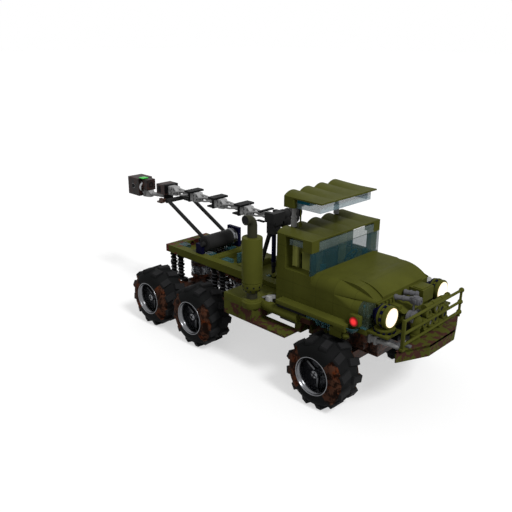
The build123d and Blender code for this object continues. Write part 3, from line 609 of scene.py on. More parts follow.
def show(name, data, finish, body="chassis", angle=32.0):
    """Link a mesh as an object with a finish, smooth except at its sharp edges, riding on a body."""
    data.materials.clear()
    data.materials.append(finish)
    data.polygons.foreach_set("use_smooth", [True] * len(data.polygons))
    data.set_sharp_from_angle(angle=math.radians(angle))
    made = bpy.data.objects.new(name, data)
    bpy.context.collection.objects.link(made)
    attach(made, body)
    print(name, "on", body, len(data.polygons), "faces")
    return made


# %% [markdown]
# ## Growing repeated pieces
# Lugs, spokes, coils and links repeat, so Geometry Nodes make them. A recipe is a small tree with
# named inputs. `grow` sets the inputs by their identifiers, reads the result as a plain mesh and
# takes the modifier away again, so only the mesh stays.

# %% Geometry Nodes helpers
class Recipe:
    """A Geometry Nodes tree with named inputs."""

    KINDS = {float: "NodeSocketFloat", int: "NodeSocketInt", tuple: "NodeSocketVector"}

    def __init__(self, name, **inputs):
        self.tree = bpy.data.node_groups.new(name, "GeometryNodeTree")
        face = self.tree.interface
        face.new_socket("Geometry", in_out="INPUT", socket_type="NodeSocketGeometry")
        self.identifiers = {}
        for key, value in inputs.items():
            socket = face.new_socket(key, in_out="INPUT", socket_type=self.KINDS[type(value)])
            socket.default_value = value
            self.identifiers[key] = socket.identifier
        face.new_socket("Geometry", in_out="OUTPUT", socket_type="NodeSocketGeometry")
        self.start = self.tree.nodes.new("NodeGroupInput")
        self.end = self.tree.nodes.new("NodeGroupOutput")

    def given(self, name):
        return self.start.outputs[name]

    def node(self, kind, settings=None, inputs=None, output=0):
        made = self.tree.nodes.new(kind)
        for name, value in (settings or {}).items():
            setattr(made, name, value)
        for name, value in (inputs or {}).items():
            if isinstance(value, bpy.types.NodeSocket):
                self.tree.links.new(value, made.inputs[name])
            else:
                made.inputs[name].default_value = value
        return made.outputs[output]

    def sum(self, operation, first, second=0.0):
        return self.node("ShaderNodeMath", {"operation": operation}, {0: first, 1: second})

    def vector(self, x=0.0, y=0.0, z=0.0):
        return self.node("ShaderNodeCombineXYZ", inputs={0: x, 1: y, 2: z})

    def close(self, geometry, finish):
        """End the tree: real geometry with a finish."""
        real = self.node("GeometryNodeRealizeInstances", inputs={0: geometry})
        dressed = self.node("GeometryNodeSetMaterial", inputs={"Geometry": real, "Material": finish})
        self.tree.links.new(dressed, self.end.inputs[0])
        return self


def grow(name, recipe, values, finish, body="chassis", points=((0, 0, 0),), angle=32.0):
    """Run a recipe on a few points (in mm) and keep its result as a plain mesh."""
    seed = bpy.data.meshes.new(name + "_points")
    seed.from_pydata([Vector(p) * MM for p in points], [], [])
    holder = bpy.data.objects.new(name + "_holder", seed)
    bpy.context.collection.objects.link(holder)
    modifier = holder.modifiers.new("grow", "NODES")
    modifier.node_group = recipe.tree
    for key, value in values.items():
        modifier[recipe.identifiers[key]] = value
    bpy.context.view_layer.update()
    ready = holder.evaluated_get(bpy.context.evaluated_depsgraph_get())
    data = bpy.data.meshes.new_from_object(ready)
    holder.modifiers.clear()
    bpy.data.objects.remove(holder)
    data.name = name
    return show(name, data, finish, body, angle)


print("helpers for pieces ready")

# %% [markdown]
# ## Tyres
# The real tyre is soft rubber with two rows of square lugs that lean towards each other. The round
# carcass is turned from its section. The lugs all share one shape, so one recipe sets twelve round
# the wheel for each row: each is a block, narrower at its top, leaned about its own middle. The ring
# is set on every point it is given, so the same recipe serves rows of pin holes and fins too.

# %% Lug recipe
ring = Recipe("ring_of_blocks", Count=12, Size=(0.0034, 0.0108, 0.0058), Radius=0.0232, Lean=0.24, Start=0.0,
              Shift=0.0, Taper=0.16, Turn=(0.0, 0.0, 0.0))
cube = ring.node("GeometryNodeMeshCube", inputs={"Size": ring.given("Size")})
spot = ring.node("GeometryNodeInputPosition")
parts = [ring.node("ShaderNodeSeparateXYZ", inputs={0: spot}, output=i) for i in range(3)]
outer = ring.sum("GREATER_THAN", parts[0], 0.0)
shrink = ring.sum("SUBTRACT", 1.0, ring.sum("MULTIPLY", outer, ring.given("Taper")))
narrowed = [ring.sum("MULTIPLY", part, shrink) for part in parts[1:]]
tapered = ring.node("GeometryNodeSetPosition", inputs={
    "Geometry": cube, "Position": ring.vector(parts[0], *narrowed)})
leaned = ring.node("GeometryNodeTransform", inputs={
    "Geometry": tapered, "Rotation": ring.vector(ring.given("Lean")),
    "Translation": ring.vector(ring.given("Radius"), ring.given("Shift"))})
spots = ring.node("GeometryNodeMeshLine", inputs={"Count": ring.given("Count"), "Offset": (0.0, 0.0, 0.0)})
share = ring.sum("DIVIDE", ring.node("GeometryNodeInputIndex"), ring.given("Count"))
turned_by = ring.sum("ADD", ring.sum("MULTIPLY", share, 2 * math.pi), ring.given("Start"))
copies = ring.node("GeometryNodeInstanceOnPoints", inputs={
    "Points": spots, "Instance": leaned, "Rotation": ring.vector(0.0, turned_by)})
wheel = ring.node("GeometryNodeTransform", inputs={"Geometry": copies, "Rotation": ring.given("Turn")})
placed = ring.node("GeometryNodeInstanceOnPoints", inputs={
    "Points": ring.given("Geometry"), "Instance": wheel})
ring.close(placed, tyre_rubber)
print("lug recipe:", len(ring.tree.nodes), "nodes")

# %% Tyres
AXLES = {"front": 111.0, "middle": -17.0, "rear": -73.0}
WHEELS = [(axle, x, side, hand) for axle, x in AXLES.items() for side, hand in SIDES]
WHEEL_Y, WHEEL_Z = 48.3, 25.0
ROW_SHIFT, ROW_LEAN, ROW_TURN = 5.9, 0.24, math.pi / 12
WALL = [(12.9, 14.0), (13.1, 15.0), (12.9, 18.2), (12.0, 20.6), (10.2, 22.2), (8.6, 22.75), (4.0, 23.0)]
CARCASS = [(-out, radius) for out, radius in WALL] + [(0.0, 23.05)] + WALL[::-1] + [(-12.9, 14.0)]


def mark_wheel(data, x, y):
    """Store each vertex's place as seen from the hub, for the rubber's brown fans."""
    store = data.attributes.new("wheel_place", "FLOAT_VECTOR", "POINT")
    for vertex, item in zip(data.vertices, store.data):
        item.vector = vertex.co - Vector((x, y, WHEEL_Z)) * MM


for axle, x, side, hand in WHEELS:
    y = side * WHEEL_Y
    carcass = Shape().turned((x, y, WHEEL_Z), LEFT, CARCASS, 72)
    carcass = carcass.piece(f"carcass_{axle}_{hand}", tyre_rubber, f"wheel_{axle}_{hand}", 50)
    mark_wheel(carcass.data, x, y)
    for row, out, start in (("inner", -1, 0.0), ("outer", 1, ROW_TURN)):
        lugs = grow(f"lugs_{row}_{axle}_{hand}", ring,
                    {"Lean": side * -out * ROW_LEAN, "Start": start, "Shift": side * out * ROW_SHIFT * MM},
                    tyre_rubber, f"wheel_{axle}_{hand}", [(x, y, WHEEL_Z)])
        mark_wheel(lugs.data, x, y)
    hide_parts(f"tyre_{axle}_{hand}")
print("tyres:", len(WHEELS))

# %% [markdown]
# ## Rims
# Each rim is a deep chrome dish with a stepped lip. A hub stands in its middle almost out to the lip,
# with three thin spokes behind it, and brown shows between them. The dish and hub are turned, and the
# ring recipe sets the spokes and the hub's pin holes.

# %% Rims
DISH = [(-13.0, 13.3), (-12.6, 13.85), (11.6, 13.85), (12.6, 14.1), (13.2, 13.9), (13.25, 13.4), (12.8, 13.1),
        (11.6, 12.9), (11.4, 12.5), (9.0, 12.3), (5.0, 11.7), (1.0, 10.6), (-2.0, 9.2), (-4.0, 7.6),
        (-5.0, 6.0), (-5.6, 4.4), (-12.6, 4.4), (-12.6, 10.2), (-13.0, 13.3)]
HUB = [(-5.0, 4.4), (1.0, 4.2), (2.0, 3.2), (9.6, 2.9), (10.2, 2.6), (10.3, 1.2), (9.2, 1.1), (9.2, 0.0)]
BRAKE_DRUM = [(-9.4, 3.0), (-9.2, 9.6), (-6.4, 10.0), (-6.2, 9.4), (-6.2, 4.6), (-9.4, 3.0)]
SPOKE_RADIUS, SPOKE_START = 6.9, math.radians(-30)
dark_hole = plastic("pin_hole_shadow", ink(4, 4, 5), rough=0.6, gloss=0.1)


def blocks_round(name, count, size, radius, finish, body, points, start=0.0, shift=0.0, lean=0.0,
                 turn=(0.0, 0.0, 0.0)):
    """A ring of plain blocks round each point. Sizes and places are in mm, angles in radians."""
    return grow(name, ring, {
        "Count": count, "Size": tuple(c * MM for c in size), "Radius": radius * MM, "Lean": lean,
        "Taper": 0.0, "Start": start, "Shift": shift * MM, "Turn": turn}, finish, body, points)


for axle, x, side, hand in WHEELS:
    body, middle, outward = f"wheel_{axle}_{hand}", (x, side * WHEEL_Y, WHEEL_Z), (0, side, 0)
    dish = Shape().turned(middle, outward, DISH, 56).turned(middle, outward, HUB, 24)
    dish = dish.piece(f"rim_dish_{axle}_{hand}", chrome, body, 60)
    spokes = blocks_round(f"spokes_{axle}_{hand}", 3, (8.2, 2.0, 1.5), SPOKE_RADIUS, dull_chrome, body,
                          [middle], SPOKE_START, side * 5.2)
    web = blocks_round(f"web_{axle}_{hand}", 3, (8.2, 2.4, 4.0), SPOKE_RADIUS, dull_chrome, body, [middle],
                       SPOKE_START, side * -4.2)
    blocks_round(f"hub_holes_{axle}_{hand}", 4, (1.0, 0.5, 1.0), 1.9, dark_hole, body, [middle],
                 0.4, side * 10.15)
    drum = Shape().turned(middle, outward, BRAKE_DRUM).piece(f"brake_drum_{axle}_{hand}", brown, body)
    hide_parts(f"rim_{axle}_{hand}")
print("rims:", len(WHEELS))

# %% [markdown]
# ## Boom
# The boom's links look like bone: a chunky square half behind, and a thin half of four strands that
# twist towards the next link. The chunky half is a skin over squares that turn as they shrink. The
# strands are spirals given a round section, set round the link's axis by Geometry Nodes. One recipe
# makes them, and later the coils of the springs too.

# %% Strand recipe
strands = Recipe("twisted_strands", Count=4, Length=0.016, Start=0.0022, End=0.0016, Turns=0.45, Thick=0.0011,
                 Steps=12, Turn=(0.0, math.pi / 2, 0.0))
spiral = strands.node("GeometryNodeCurveSpiral", inputs={
    "Resolution": strands.given("Steps"), "Rotations": strands.given("Turns"),
    "Start Radius": strands.given("Start"), "End Radius": strands.given("End"),
    "Height": strands.given("Length")})
section = strands.node("GeometryNodeCurvePrimitiveCircle",
                       inputs={"Resolution": 8, "Radius": strands.given("Thick")})
strand = strands.node("GeometryNodeCurveToMesh", inputs={
    "Curve": spiral, "Profile Curve": section, "Fill Caps": True})
spots = strands.node("GeometryNodeMeshLine", inputs={
    "Count": strands.given("Count"), "Offset": (0.0, 0.0, 0.0)})
share = strands.sum("DIVIDE", strands.node("GeometryNodeInputIndex"), strands.given("Count"))
turned_by = strands.sum("MULTIPLY", share, 2 * math.pi)
copies = strands.node("GeometryNodeInstanceOnPoints", inputs={
    "Points": spots, "Instance": strand, "Rotation": strands.vector(0.0, 0.0, turned_by)})
turned = strands.node("GeometryNodeTransform", inputs={"Geometry": copies, "Rotation": strands.given("Turn")})
placed = strands.node("GeometryNodeInstanceOnPoints", inputs={
    "Points": strands.given("Geometry"), "Instance": turned})
strands.close(placed, bone)
print("strand recipe:", len(strands.tree.nodes), "nodes")

# %% Boom links
BOOM_Z, PLATES = 104.2, (14.5, -17.5, -49.5, -81.5, -113.5)
BLOCK_X, CUBE_X, CUBE_Z = -154.0, -163.0, 101.0      # the last link's plate, and the middle of the cube
MAST_X, WINCH_X, WINCH_Z = 18.0, 19.0, 105.0
# Sections of the chunky half. Columns: distance ahead of its plate, half of its side, turn in degrees
CHUNK = ((0.0, 3.9, 0), (3.2, 3.9, 0), (3.3, 3.2, 0), (4.8, 3.2, 0), (4.9, 3.9, 0), (8.6, 3.7, 0),
         (10.5, 3.0, 20), (12.0, 2.2, 45))


def square(x, z, half, degrees):
    """The corners of a turned square across the boom."""
    turns = [math.radians(degrees + 45 + 90 * i) for i in range(4)]
    return [(x, half * math.sqrt(2) * math.cos(t), z + half * math.sqrt(2) * math.sin(t)) for t in turns]


links = Shape()
for rear in PLATES[1:]:
    links.loft([square(rear + ahead, BOOM_Z, half, turn) for ahead, half, turn in CHUNK])
    for z in (BOOM_Z - 2.2, BOOM_Z + 2.2):
        links.rod((rear + 1.6, -4.1, z), (rear + 1.6, 4.1, z), 0.9, 10, 0.1)
    links.rod((rear + 11.0, 0, BOOM_Z), (rear + 30.0, 0, BOOM_Z), 0.9, 10, 0.1)
    links.brick((rear + 29.0, rear + 30.4), (-2.2, 2.2), (BOOM_Z - 2.2, BOOM_Z + 2.2))
links.loft([square(BLOCK_X + ahead, 94.6 + 0.06 * ahead, half * 0.9, turn) for ahead, half, turn in CHUNK])
links.tube(((-145.0, 0, 95.1), (-138.5, 0, 95.4), (-128.0, 0, 96.1), (-119.4, 0, 97.2)), 1.9, 10)
links.rod((MAST_X, -4.7, BOOM_Z), (MAST_X, 4.7, BOOM_Z), 3.2, 24, 0.3)
links.rod((14.4, 0, BOOM_Z), (16.5, 0, BOOM_Z), 2.2, 12)
links = links.piece("boom_bones", bone, "boom", 20)
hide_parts("boom_links")
twist = grow("boom_strands", strands, {
    "Length": 20.0 * MM, "Start": 3.0 * MM, "End": 1.5 * MM, "Turns": 0.3, "Thick": 0.85 * MM},
    bone, "boom", [(rear + 10.0, 0, BOOM_Z) for rear in PLATES[1:]])
pips = blocks_round("boom_pin_holes", 4, (0.9, 0.3, 0.9), 2.4, black, "boom",
                    [(rear + 6.8, y, BOOM_Z) for rear in PLATES[1:] for y in (3.85, -3.85)], math.pi / 4)
print("boom links:", len(PLATES) - 1)

# %% [markdown]
# The far end carries a rust-brown cube with a silver ring, a small box with a dial in front of it,
# and an axle foot. The block over the prop's crossbar is brown with black inserts.

# %% Boom end
end = Shape()
for y in (-8.0, 8.0):
    end.turned((CUBE_X, y * 0.99, CUBE_Z), (0, y, 0), [
        (-0.6, 3.0), (0.0, 3.0), (0.1, 2.2), (-0.6, 2.2), (-0.6, 3.0)], 20)
end.turned((BLOCK_X, 0, 100.6), AHEAD, [
    (0.0, 7.6), (1.6, 7.2), (2.0, 6.3), (1.4, 5.7), (0.0, 5.7), (0.0, 7.6)], 40)
ring_piece = end.piece("boom_end_rings", bright_chrome, "boom", 30)
inserts = Shape()
for side in (-1, 1):
    y = side * 8.05
    inserts.turned((CUBE_X, y, CUBE_Z), (0, side, 0), [(-1.0, 2.2), (0.06, 2.2), (0.06, 0.0)], 20)
    inserts.brick((-124.0, -119.0), (y, y - side), (101.6, 107.6), 0.1)
inserts.brick((-117.4, -113.2), (-7.9, 7.9), (101.4, 109.3), 0.2)
inserts.turned((-145.0, 0, 103.4), AHEAD, [
    (-0.6, 2.6), (0.06, 2.6), (0.06, 1.6), (-0.6, 1.6), (-0.6, 2.6)], 24)
inserts.brick((7.4, 10.4), (-7.9, 7.9), (108.0, 109.2), 0.2)
inserts.brick((2.0, 10.0), (-4.2, -1.2), (99.0, 100.0), 0.2)
inserts = inserts.piece("boom_black_inserts", black, "boom")
foot = Shape()
foot.brick((-110.5, -104.0), (-17.0, -13.8), (96.2, 99.6), 0.5)
foot.brick((-113.6, -107.0), (-17.0, -13.9), (95.0, 96.6), 0.3)
foot = foot.piece("prop_foot", brown, "prop")
glints = Shape()
glints.brick((-157.0, -150.6), (-5.6, 1.2), (108.9, 109.6), 0.2)
glints.brick((-155.4, -154.0), (-7.4, -5.8), (99.0, 107.0), 0.2)
green = clear_plastic("clear_green_plastic", ink(60, 190, 70), 0.85)
glints = glints.piece("boom_end_green", green, "boom")
print("boom end ready")

# %% [markdown]
# ## Mast, winch and prop drum
# The mast's head has a winch motor beside it: a dark drum with ribs and a blue cap. The drum under
# the prop frame has a silver ring at its far end. Turned shapes do for all of them, with the profile
# read like a lathe's: distance along the axis, radius.

# %% Mast and drum details
winch = Shape()
winch.turned((WINCH_X, 6.5, WINCH_Z), LEFT, [
    (0.0, 3.9), (1.2, 4.6), (3.2, 4.6), (3.6, 4.0), (7.0, 4.0), (7.3, 4.5), (8.6, 4.5), (8.9, 4.0),
    (14.0, 4.0), (14.3, 4.4), (17.0, 4.4), (17.2, 3.9), (0.0, 3.9)], 32)
winch.turned((MAST_X, 6.5, 100.4), LEFT, [
    (0.0, 0.0), (0.0, 4.8), (1.4, 5.6), (6.2, 5.6), (6.5, 5.2), (7.4, 5.2), (7.7, 5.7), (13.6, 5.7),
    (14.0, 5.2), (18.2, 5.2), (18.8, 4.6), (18.8, 0.0)], 32)
winch.turned((MAST_X, 0, 64.0), UP, [
    (0.0, 1.65), (0.0, 2.0), (3.0, 2.0), (3.4, 1.65), (0.0, 1.65)], 20)
winch.tube(((14.9, 0, 87.5), (13.4, 0, 90.4), (14.6, 0, 92.5)), 2.3, 14)
winch = winch.piece("winch_ribs", charcoal)
blues = Shape()
blues.turned((WINCH_X, 24.4, WINCH_Z), LEFT, [
    (0.0, 5.0), (0.3, 5.35), (2.2, 5.35), (2.6, 5.0), (2.6, 3.6), (2.3, 3.4), (2.3, 0.0)], 32)
blues.rod((MAST_X, 0, 63.0), (MAST_X, 0, 92.0), 1.85, 20, 0.1)
blues = blues.piece("mast_blue_sleeve", navy)
DRUM_X, DRUM_Z = -48.0, 70.5
collar = Shape().turned((DRUM_X, 11.8, DRUM_Z), LEFT, [
    (0.0, 6.7), (0.4, 7.3), (1.3, 7.4), (1.5, 6.9), (2.3, 6.9), (2.5, 7.5), (3.9, 7.3), (4.2, 6.7),
    (0.0, 6.7)], 40)
collar = collar.piece("prop_drum_ring", chrome, "prop")
end_face = Shape()
end_face.turned((DRUM_X, -16.5, DRUM_Z), RIGHT, [
    (-0.4, 6.5), (0.5, 6.2), (0.8, 5.0), (0.3, 3.4), (0.3, 2.2)], 32)
end_face.turned((DRUM_X, 15.9, DRUM_Z), LEFT, [(-1.0, 7.2), (0.0, 7.4), (0.5, 7.0), (0.5, 2.1)], 32)
end_face = end_face.piece("prop_drum_ends", charcoal, "prop", 45)
studs = blocks_round("drum_plate_studs", 4, (1.4, 0.5, 1.4), 5.0, navy, "chassis", [(DRUM_X, 20.3, 73.0)],
                     math.pi / 4)
print("mast and drum dressed")

# %% [markdown]
# ## Bed
# Low slats run across the bed between its beams, and small dark pins and clear plates stand in it.

# %% Bed details
BED_WIDTH = (-15.9, 15.9)
UPRIGHT = (math.pi / 2, 0.0, 0.0)      # turns a ring, which lies round the Y axis, to lie round the Z axis
bed = Shape()
for x in (-38.4, -35.4):
    bed.brick((x, x + 1.2), BED_WIDTH, (61.2, 61.7), 0.15)
for x in (-60.0, -56.4, 52.0):
    bed.brick((x, x + 1.0), BED_WIDTH, (61.2, 61.6), 0.15)
bed.brick((-8.5, -1.0), BED_WIDTH, (61.2, 62.1))
bed.brick((20.0, 26.0), BED_WIDTH, (56.4, 58.4))
bed = bed.piece("bed_slats", olive)
stands = Shape()
stands.brick((-21.2, -19.4), (-4.0, 4.0), (56.5, 65.4), 0.3)
for side in (-1, 1):
    stands.brick((21.0, 25.0), (side * 9.0, side * 15.0), (58.4, 59.6), 0.2)
stands = stands.piece("bed_clear_plates", clear_brick)
pegs = blocks_round("bed_pegs", 4, (1.5, 1.5, 1.5), 2.6, dark_hole, "chassis",
                    [(x, y, 60.2) for x in (-45.0, -50.0) for y in (-3.0, 3.0)], math.pi / 4, turn=UPRIGHT)
print("bed dressed")

# %% [markdown]
# ## Under the bed
# Each axle hangs on shock absorbers: a black body with a pale coil round it. The coil is the strand
# recipe again, with one strand and five turns. The gear drum is silver with a zigzag: two rings of
# small leaned bars from the ring recipe, one leaned each way.

# %% Shock absorbers, gear drums and shaft
SHOCK_Y, SHOCK_LOW, SHOCK_TOP = 18.0, 33.0, {"front": 55.4, "middle": 53.2, "rear": 53.2}
SHOCKS = [(x - behind, SHOCK_TOP[axle]) for axle, x in AXLES.items() for behind in (7.0, 17.0)]
DRIVEN = (AXLES["rear"], AXLES["middle"])
coils = grow("shock_coils", strands, {
    "Count": 1, "Length": 15.5 * MM, "Start": 2.75 * MM, "End": 2.75 * MM, "Turns": 5.0, "Thick": 0.42 * MM,
    "Steps": 14, "Turn": (0.0, 0.0, 0.0)},
    grey, "chassis", [(x, y, 34.6) for x, high in SHOCKS for y in (SHOCK_Y, -SHOCK_Y)], 60)
COLLAR = [(0.0, 2.3), (0.2, 3.3), (1.2, 3.3), (1.4, 2.3), (0.0, 2.3)]
collars = Shape()
for x, high in SHOCKS:
    for z in (SHOCK_LOW, SHOCK_LOW + 10.0, high - 2.4):
        collars.turned((x, -SHOCK_Y, z), UP, COLLAR, 16)
collars = collars.mirrored().piece("shock_collars", black)
for name, lean in (("zig", 0.62), ("zag", -0.62)):
    bars = blocks_round(f"gear_drum_{name}", 18, (0.9, 7.4, 0.9), 8.6, bright_chrome, "chassis",
                        [(x, 0, 37.6) for x in DRIVEN], lean=lean, turn=UPRIGHT)
AXLE_COLLAR = [(0.0, 4.2), (0.4, 5.6), (2.6, 5.6), (3.0, 4.2), (0.0, 4.2)]
caps = Shape()
for x in DRIVEN:
    caps.turned((x, 0, 41.6), UP, [(0.0, 8.6), (0.2, 9.4), (2.4, 9.4), (3.0, 8.8), (3.0, 0.0)], 36)
    caps.turned((x, 0, 31.0), UP, [
        (0.0, 8.8), (0.2, 9.6), (1.8, 9.6), (2.4, 9.0), (2.4, 8.0), (0.0, 8.0)], 36)
    for out in (10.0, 24.0):
        for side in (-1, 1):
            caps.turned((x, side * out, WHEEL_Z), (0, side, 0), AXLE_COLLAR, 24)
caps.brick((-22.0, -14.0), (-14.0, -2.0), (45.5, 47.4), 0.3)
caps = caps.piece("axle_caps", brown)
bellows = [(0.0, 2.8)]
for i in range(7):
    bellows += [(0.6 + 1.6 * i, 3.6), (1.0 + 1.6 * i, 5.4), (1.6 + 1.6 * i, 5.4), (2.0 + 1.6 * i, 3.6)]
bellows += [(12.0, 2.8)]
gear = Shape().turned((-45.0, 0, 30.5), (1, 0, 0.35), bellows, 32)
gear = gear.piece("shaft_bellows", bright_chrome)
print("running gear dressed")

# %% [markdown]
# ## Headlamps
# A lamp is a round drum with dark grooves, on a turntable with a ring of dark teeth, on a square shelf.
# The marker lamp behind it sits in its own small olive box, over a clear blue dish.

# %% Headlamps and markers
LAMP_Y, LAMP_Z, LAMP_BACK = 31.9, 71.8, 142.3
NOSE_X, TABLE_X, SHELF_TOP = 138.3, 146.4, 61.6      # the nose's front plane, and the turntable on its shelf
drum = Shape().turned((LAMP_BACK, -LAMP_Y, LAMP_Z), AHEAD, [
    (1.5, 0.0), (1.5, 6.9), (1.7, 7.5), (3.2, 7.6), (3.3, 6.7), (3.8, 6.7), (3.9, 7.6), (5.2, 7.6),
    (5.3, 6.9), (5.7, 6.9), (5.8, 7.6), (8.0, 7.8), (8.5, 7.6), (8.6, 6.5), (8.2, 6.4), (8.2, 0.0)], 48)
drum.brick((NOSE_X, 154.1), (-40.0, -23.9), (60.0, SHELF_TOP), 0.2)
drum.turned((TABLE_X, -LAMP_Y, SHELF_TOP), UP, [
    (0.0, 0.0), (0.0, 5.6), (1.0, 5.6), (1.1, 6.9), (2.2, 6.9), (2.6, 6.3), (2.6, 0.0)], 32)
drum.brick((130.6, NOSE_X), (-40.0, -32.0), (57.4, SHELF_TOP), 0.2)
drum.brick((126.3, 134.3), (-43.2, -39.8), (63.0, 70.2), 0.3)
drum.turned((130.3, -43.0, 66.2), RIGHT, [
    (0.0, 3.1), (0.0, 3.7), (0.7, 3.7), (0.7, 3.15), (0.0, 3.1)], 24)
lamps = drum.mirrored().piece("lamp_drums", olive)
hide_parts("lamp_housings")
backs = Shape().turned((LAMP_BACK, -LAMP_Y, LAMP_Z), AHEAD, [
    (0.0, 0.0), (0.0, 6.6), (0.4, 7.2), (1.2, 7.2), (1.6, 6.6), (1.6, 0.0)], 40)
backs.brick((NOSE_X, 142.4), (-35.0, -28.8), (69.0, 75.0), 0.3)
backs = backs.mirrored().piece("lamp_backs", navy)
for name, count, size, radius, turn, at in (
        ("lamp_slots", 10, (1.0, 1.4, 2.4), 7.35, (0.0, 0.0, math.pi / 2), (LAMP_BACK + 4.6, LAMP_Y, LAMP_Z)),
        ("lamp_teeth", 12, (1.5, 1.2, 1.7), 6.6, UPRIGHT, (TABLE_X, LAMP_Y, SHELF_TOP + 0.7))):
    x, y, z = at
    teeth = blocks_round(name, count, size, radius, navy, "chassis", [(x, y, z), (x, -y, z)], turn=turn)
dishes = Shape()
dishes.turned((127.0, -40.4, 56.4), UP, [
    (0.0, 0.0), (0.0, 2.0), (1.2, 3.6), (3.4, 5.4), (4.4, 5.6), (4.4, 4.8), (3.0, 4.2), (1.6, 1.6),
    (1.6, 0.0)], 28)
dishes.brick((131.0, 138.0), (-41.4, -33.0), (61.7, 62.7), 0.2)
dishes = dishes.mirrored().piece("blue_dishes", clear_brick)
studs = Shape()
for y in (-38.6, -35.2):
    studs.brick((133.4, 134.6), (y, y + 0.9), (68.6, 77.4), 0.2)
studs.brick((136.6, 137.6), (-39.2, -33.4), (69.6, 71.0), 0.2)
studs.brick((132.2, 133.2), (-38.9, -33.0), (64.0, 65.2), 0.2)
studs = studs.mirrored().piece("lens_studs", clear_brick)
print("lamps ready")

# %% [markdown]
# ## Guard
# Behind the three rails stands a lattice of round connectors with pin holes. Each of them is one
# turned shape, so a table of places and heights is enough. The pale hub belongs to the grey bars.

# %% Guard and connectors
GUARD_X, GUARD_Y, GUARD_LOW, GUARD_TOP = 162.6, 36.7, 54.5, 76.0
RAIL_HEIGHTS = (58.0, 65.7, 74.5)
PIN_HOLE_X, PIN_HOLE = 161.6, [(0.0, 0.0), (0.0, 1.6), (0.5, 1.6), (0.5, 0.0)]
guard = Shape()
guard.brick((161.8, 164.2), (-37.5, -35.9), (GUARD_LOW, GUARD_TOP), 0.3)
guard.brick((161.4, 164.4), (-38.2, -35.2), (GUARD_LOW, 56.4), 0.3)
guard.rod((GUARD_X, GUARD_Y, GUARD_LOW), (GUARD_X, GUARD_Y, GUARD_TOP), 0.95, 12)
for z in RAIL_HEIGHTS:
    guard.rod((GUARD_X, -GUARD_Y, z), (GUARD_X, GUARD_Y, z), 1.0, 12)
    guard.ball((GUARD_X, GUARD_Y, z), 1.9, 14)
    guard.turned((160.2, -9.0, z), LEFT, [
        (0.0, 1.2), (0.0, 2.2), (1.4, 2.2), (1.6, 1.7), (9.4, 1.7), (9.6, 2.2), (12.4, 2.2),
        (12.6, 1.7), (20.4, 1.7), (20.6, 2.2), (23.4, 2.2), (23.6, 1.7), (29.4, 1.7), (29.6, 2.2),
        (31.0, 2.2), (31.0, 0.0)], 16)
for y in (-6.0, 5.0, 16.0):
    guard.turned((159.6, y, GUARD_LOW), UP, [
        (0.0, 2.3), (1.6, 2.3), (1.8, 1.8), (6.4, 1.8), (6.6, 2.4), (9.4, 2.4), (9.6, 1.8), (14.4, 1.8),
        (14.6, 2.4), (17.6, 2.4), (17.8, 1.8), (20.6, 1.8), (21.0, 1.2), (21.0, 0.0)], 14)
CONNECTOR = [(0.0, 0.0), (0.0, 3.0), (0.3, 3.3), (3.9, 3.3), (4.3, 2.9), (4.3, 1.9), (3.4, 1.7), (3.4, 0.0)]
for y, z in ((4.4, 70.6), (4.2, 63.0), (-2.1, 62.7), (-9.6, 64.4), (12.3, 57.0), (-6.0, 70.2), (11.0, 68.4),
             (16.0, 62.4)):
    guard.turned((158.4, y, z), AHEAD, CONNECTOR, 18)
guard.turned((159.0, -15.0, GUARD_LOW), UP, [
    (0.0, 3.4), (3.0, 3.4), (3.3, 2.9), (7.6, 2.9), (7.9, 3.5), (13.0, 3.5), (14.6, 3.0), (16.4, 2.0),
    (17.0, 0.0)], 24)
guard = guard.piece("guard_lattice", olive)
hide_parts("grille_guard")
holes = Shape()
for y, z in ((4.2, 63.0), (-9.6, 64.4), (12.3, 57.0), (11.0, 68.4), (16.0, 62.4)):
    holes.turned((PIN_HOLE_X, y, z), AHEAD, PIN_HOLE, 14)
holes.brick((150.0, 156.4), (-8.0, 22.0), (48.0, 54.2), 0.3)
holes.brick((152.6, 156.6), (-2.0, 4.0), (58.0, 64.0), 0.3)
holes.brick((139.0, 141.0), (-31.0, -22.0), (62.0, 68.0), 0.2)
holes = holes.piece("guard_shadows", navy)
hub = Shape()
hub.turned((153.3, -16.0, 69.1), AHEAD, [
    (0.0, 0.0), (0.0, 3.4), (0.4, 4.0), (2.2, 4.0), (2.4, 3.2), (3.4, 3.2), (3.6, 3.9), (5.0, 3.9),
    (5.3, 3.5), (5.3, 1.6), (4.3, 1.4), (4.3, 0.0)], 24)
hub.rod((154.4, -12.6, 69.1), (154.4, -5.0, 69.1), 1.6, 12)
hub.rod((152.6, -9.0, 69.8), (152.6, -9.0, 76.0), 0.8, 10)
for y, z in ((4.4, 70.6), (-2.1, 62.7)):
    hub.turned((PIN_HOLE_X, y, z), AHEAD, PIN_HOLE, 12)
hub.brick((160.6, 164.6), (-30.4, -27.4), (GUARD_LOW, 55.9), 0.3)
hub.rod((156.0, 13.8, 51.6), (158.4, 23.4, 53.4), 1.1, 10)
hub.tube([(142.8, -26.5, 50.1), (146.0, -26.5, 48.8), (149.5, -26.5, 48.4), (153.4, -26.5, 49.2),
          (156.8, -26.5, 51.1)], 0.45, 8)
hub.rod((156.4, -24.4, 55.0), (156.4, -24.4, 68.0), 0.4, 8)
hub = hub.piece("guard_hub", grey)
print("guard ready")

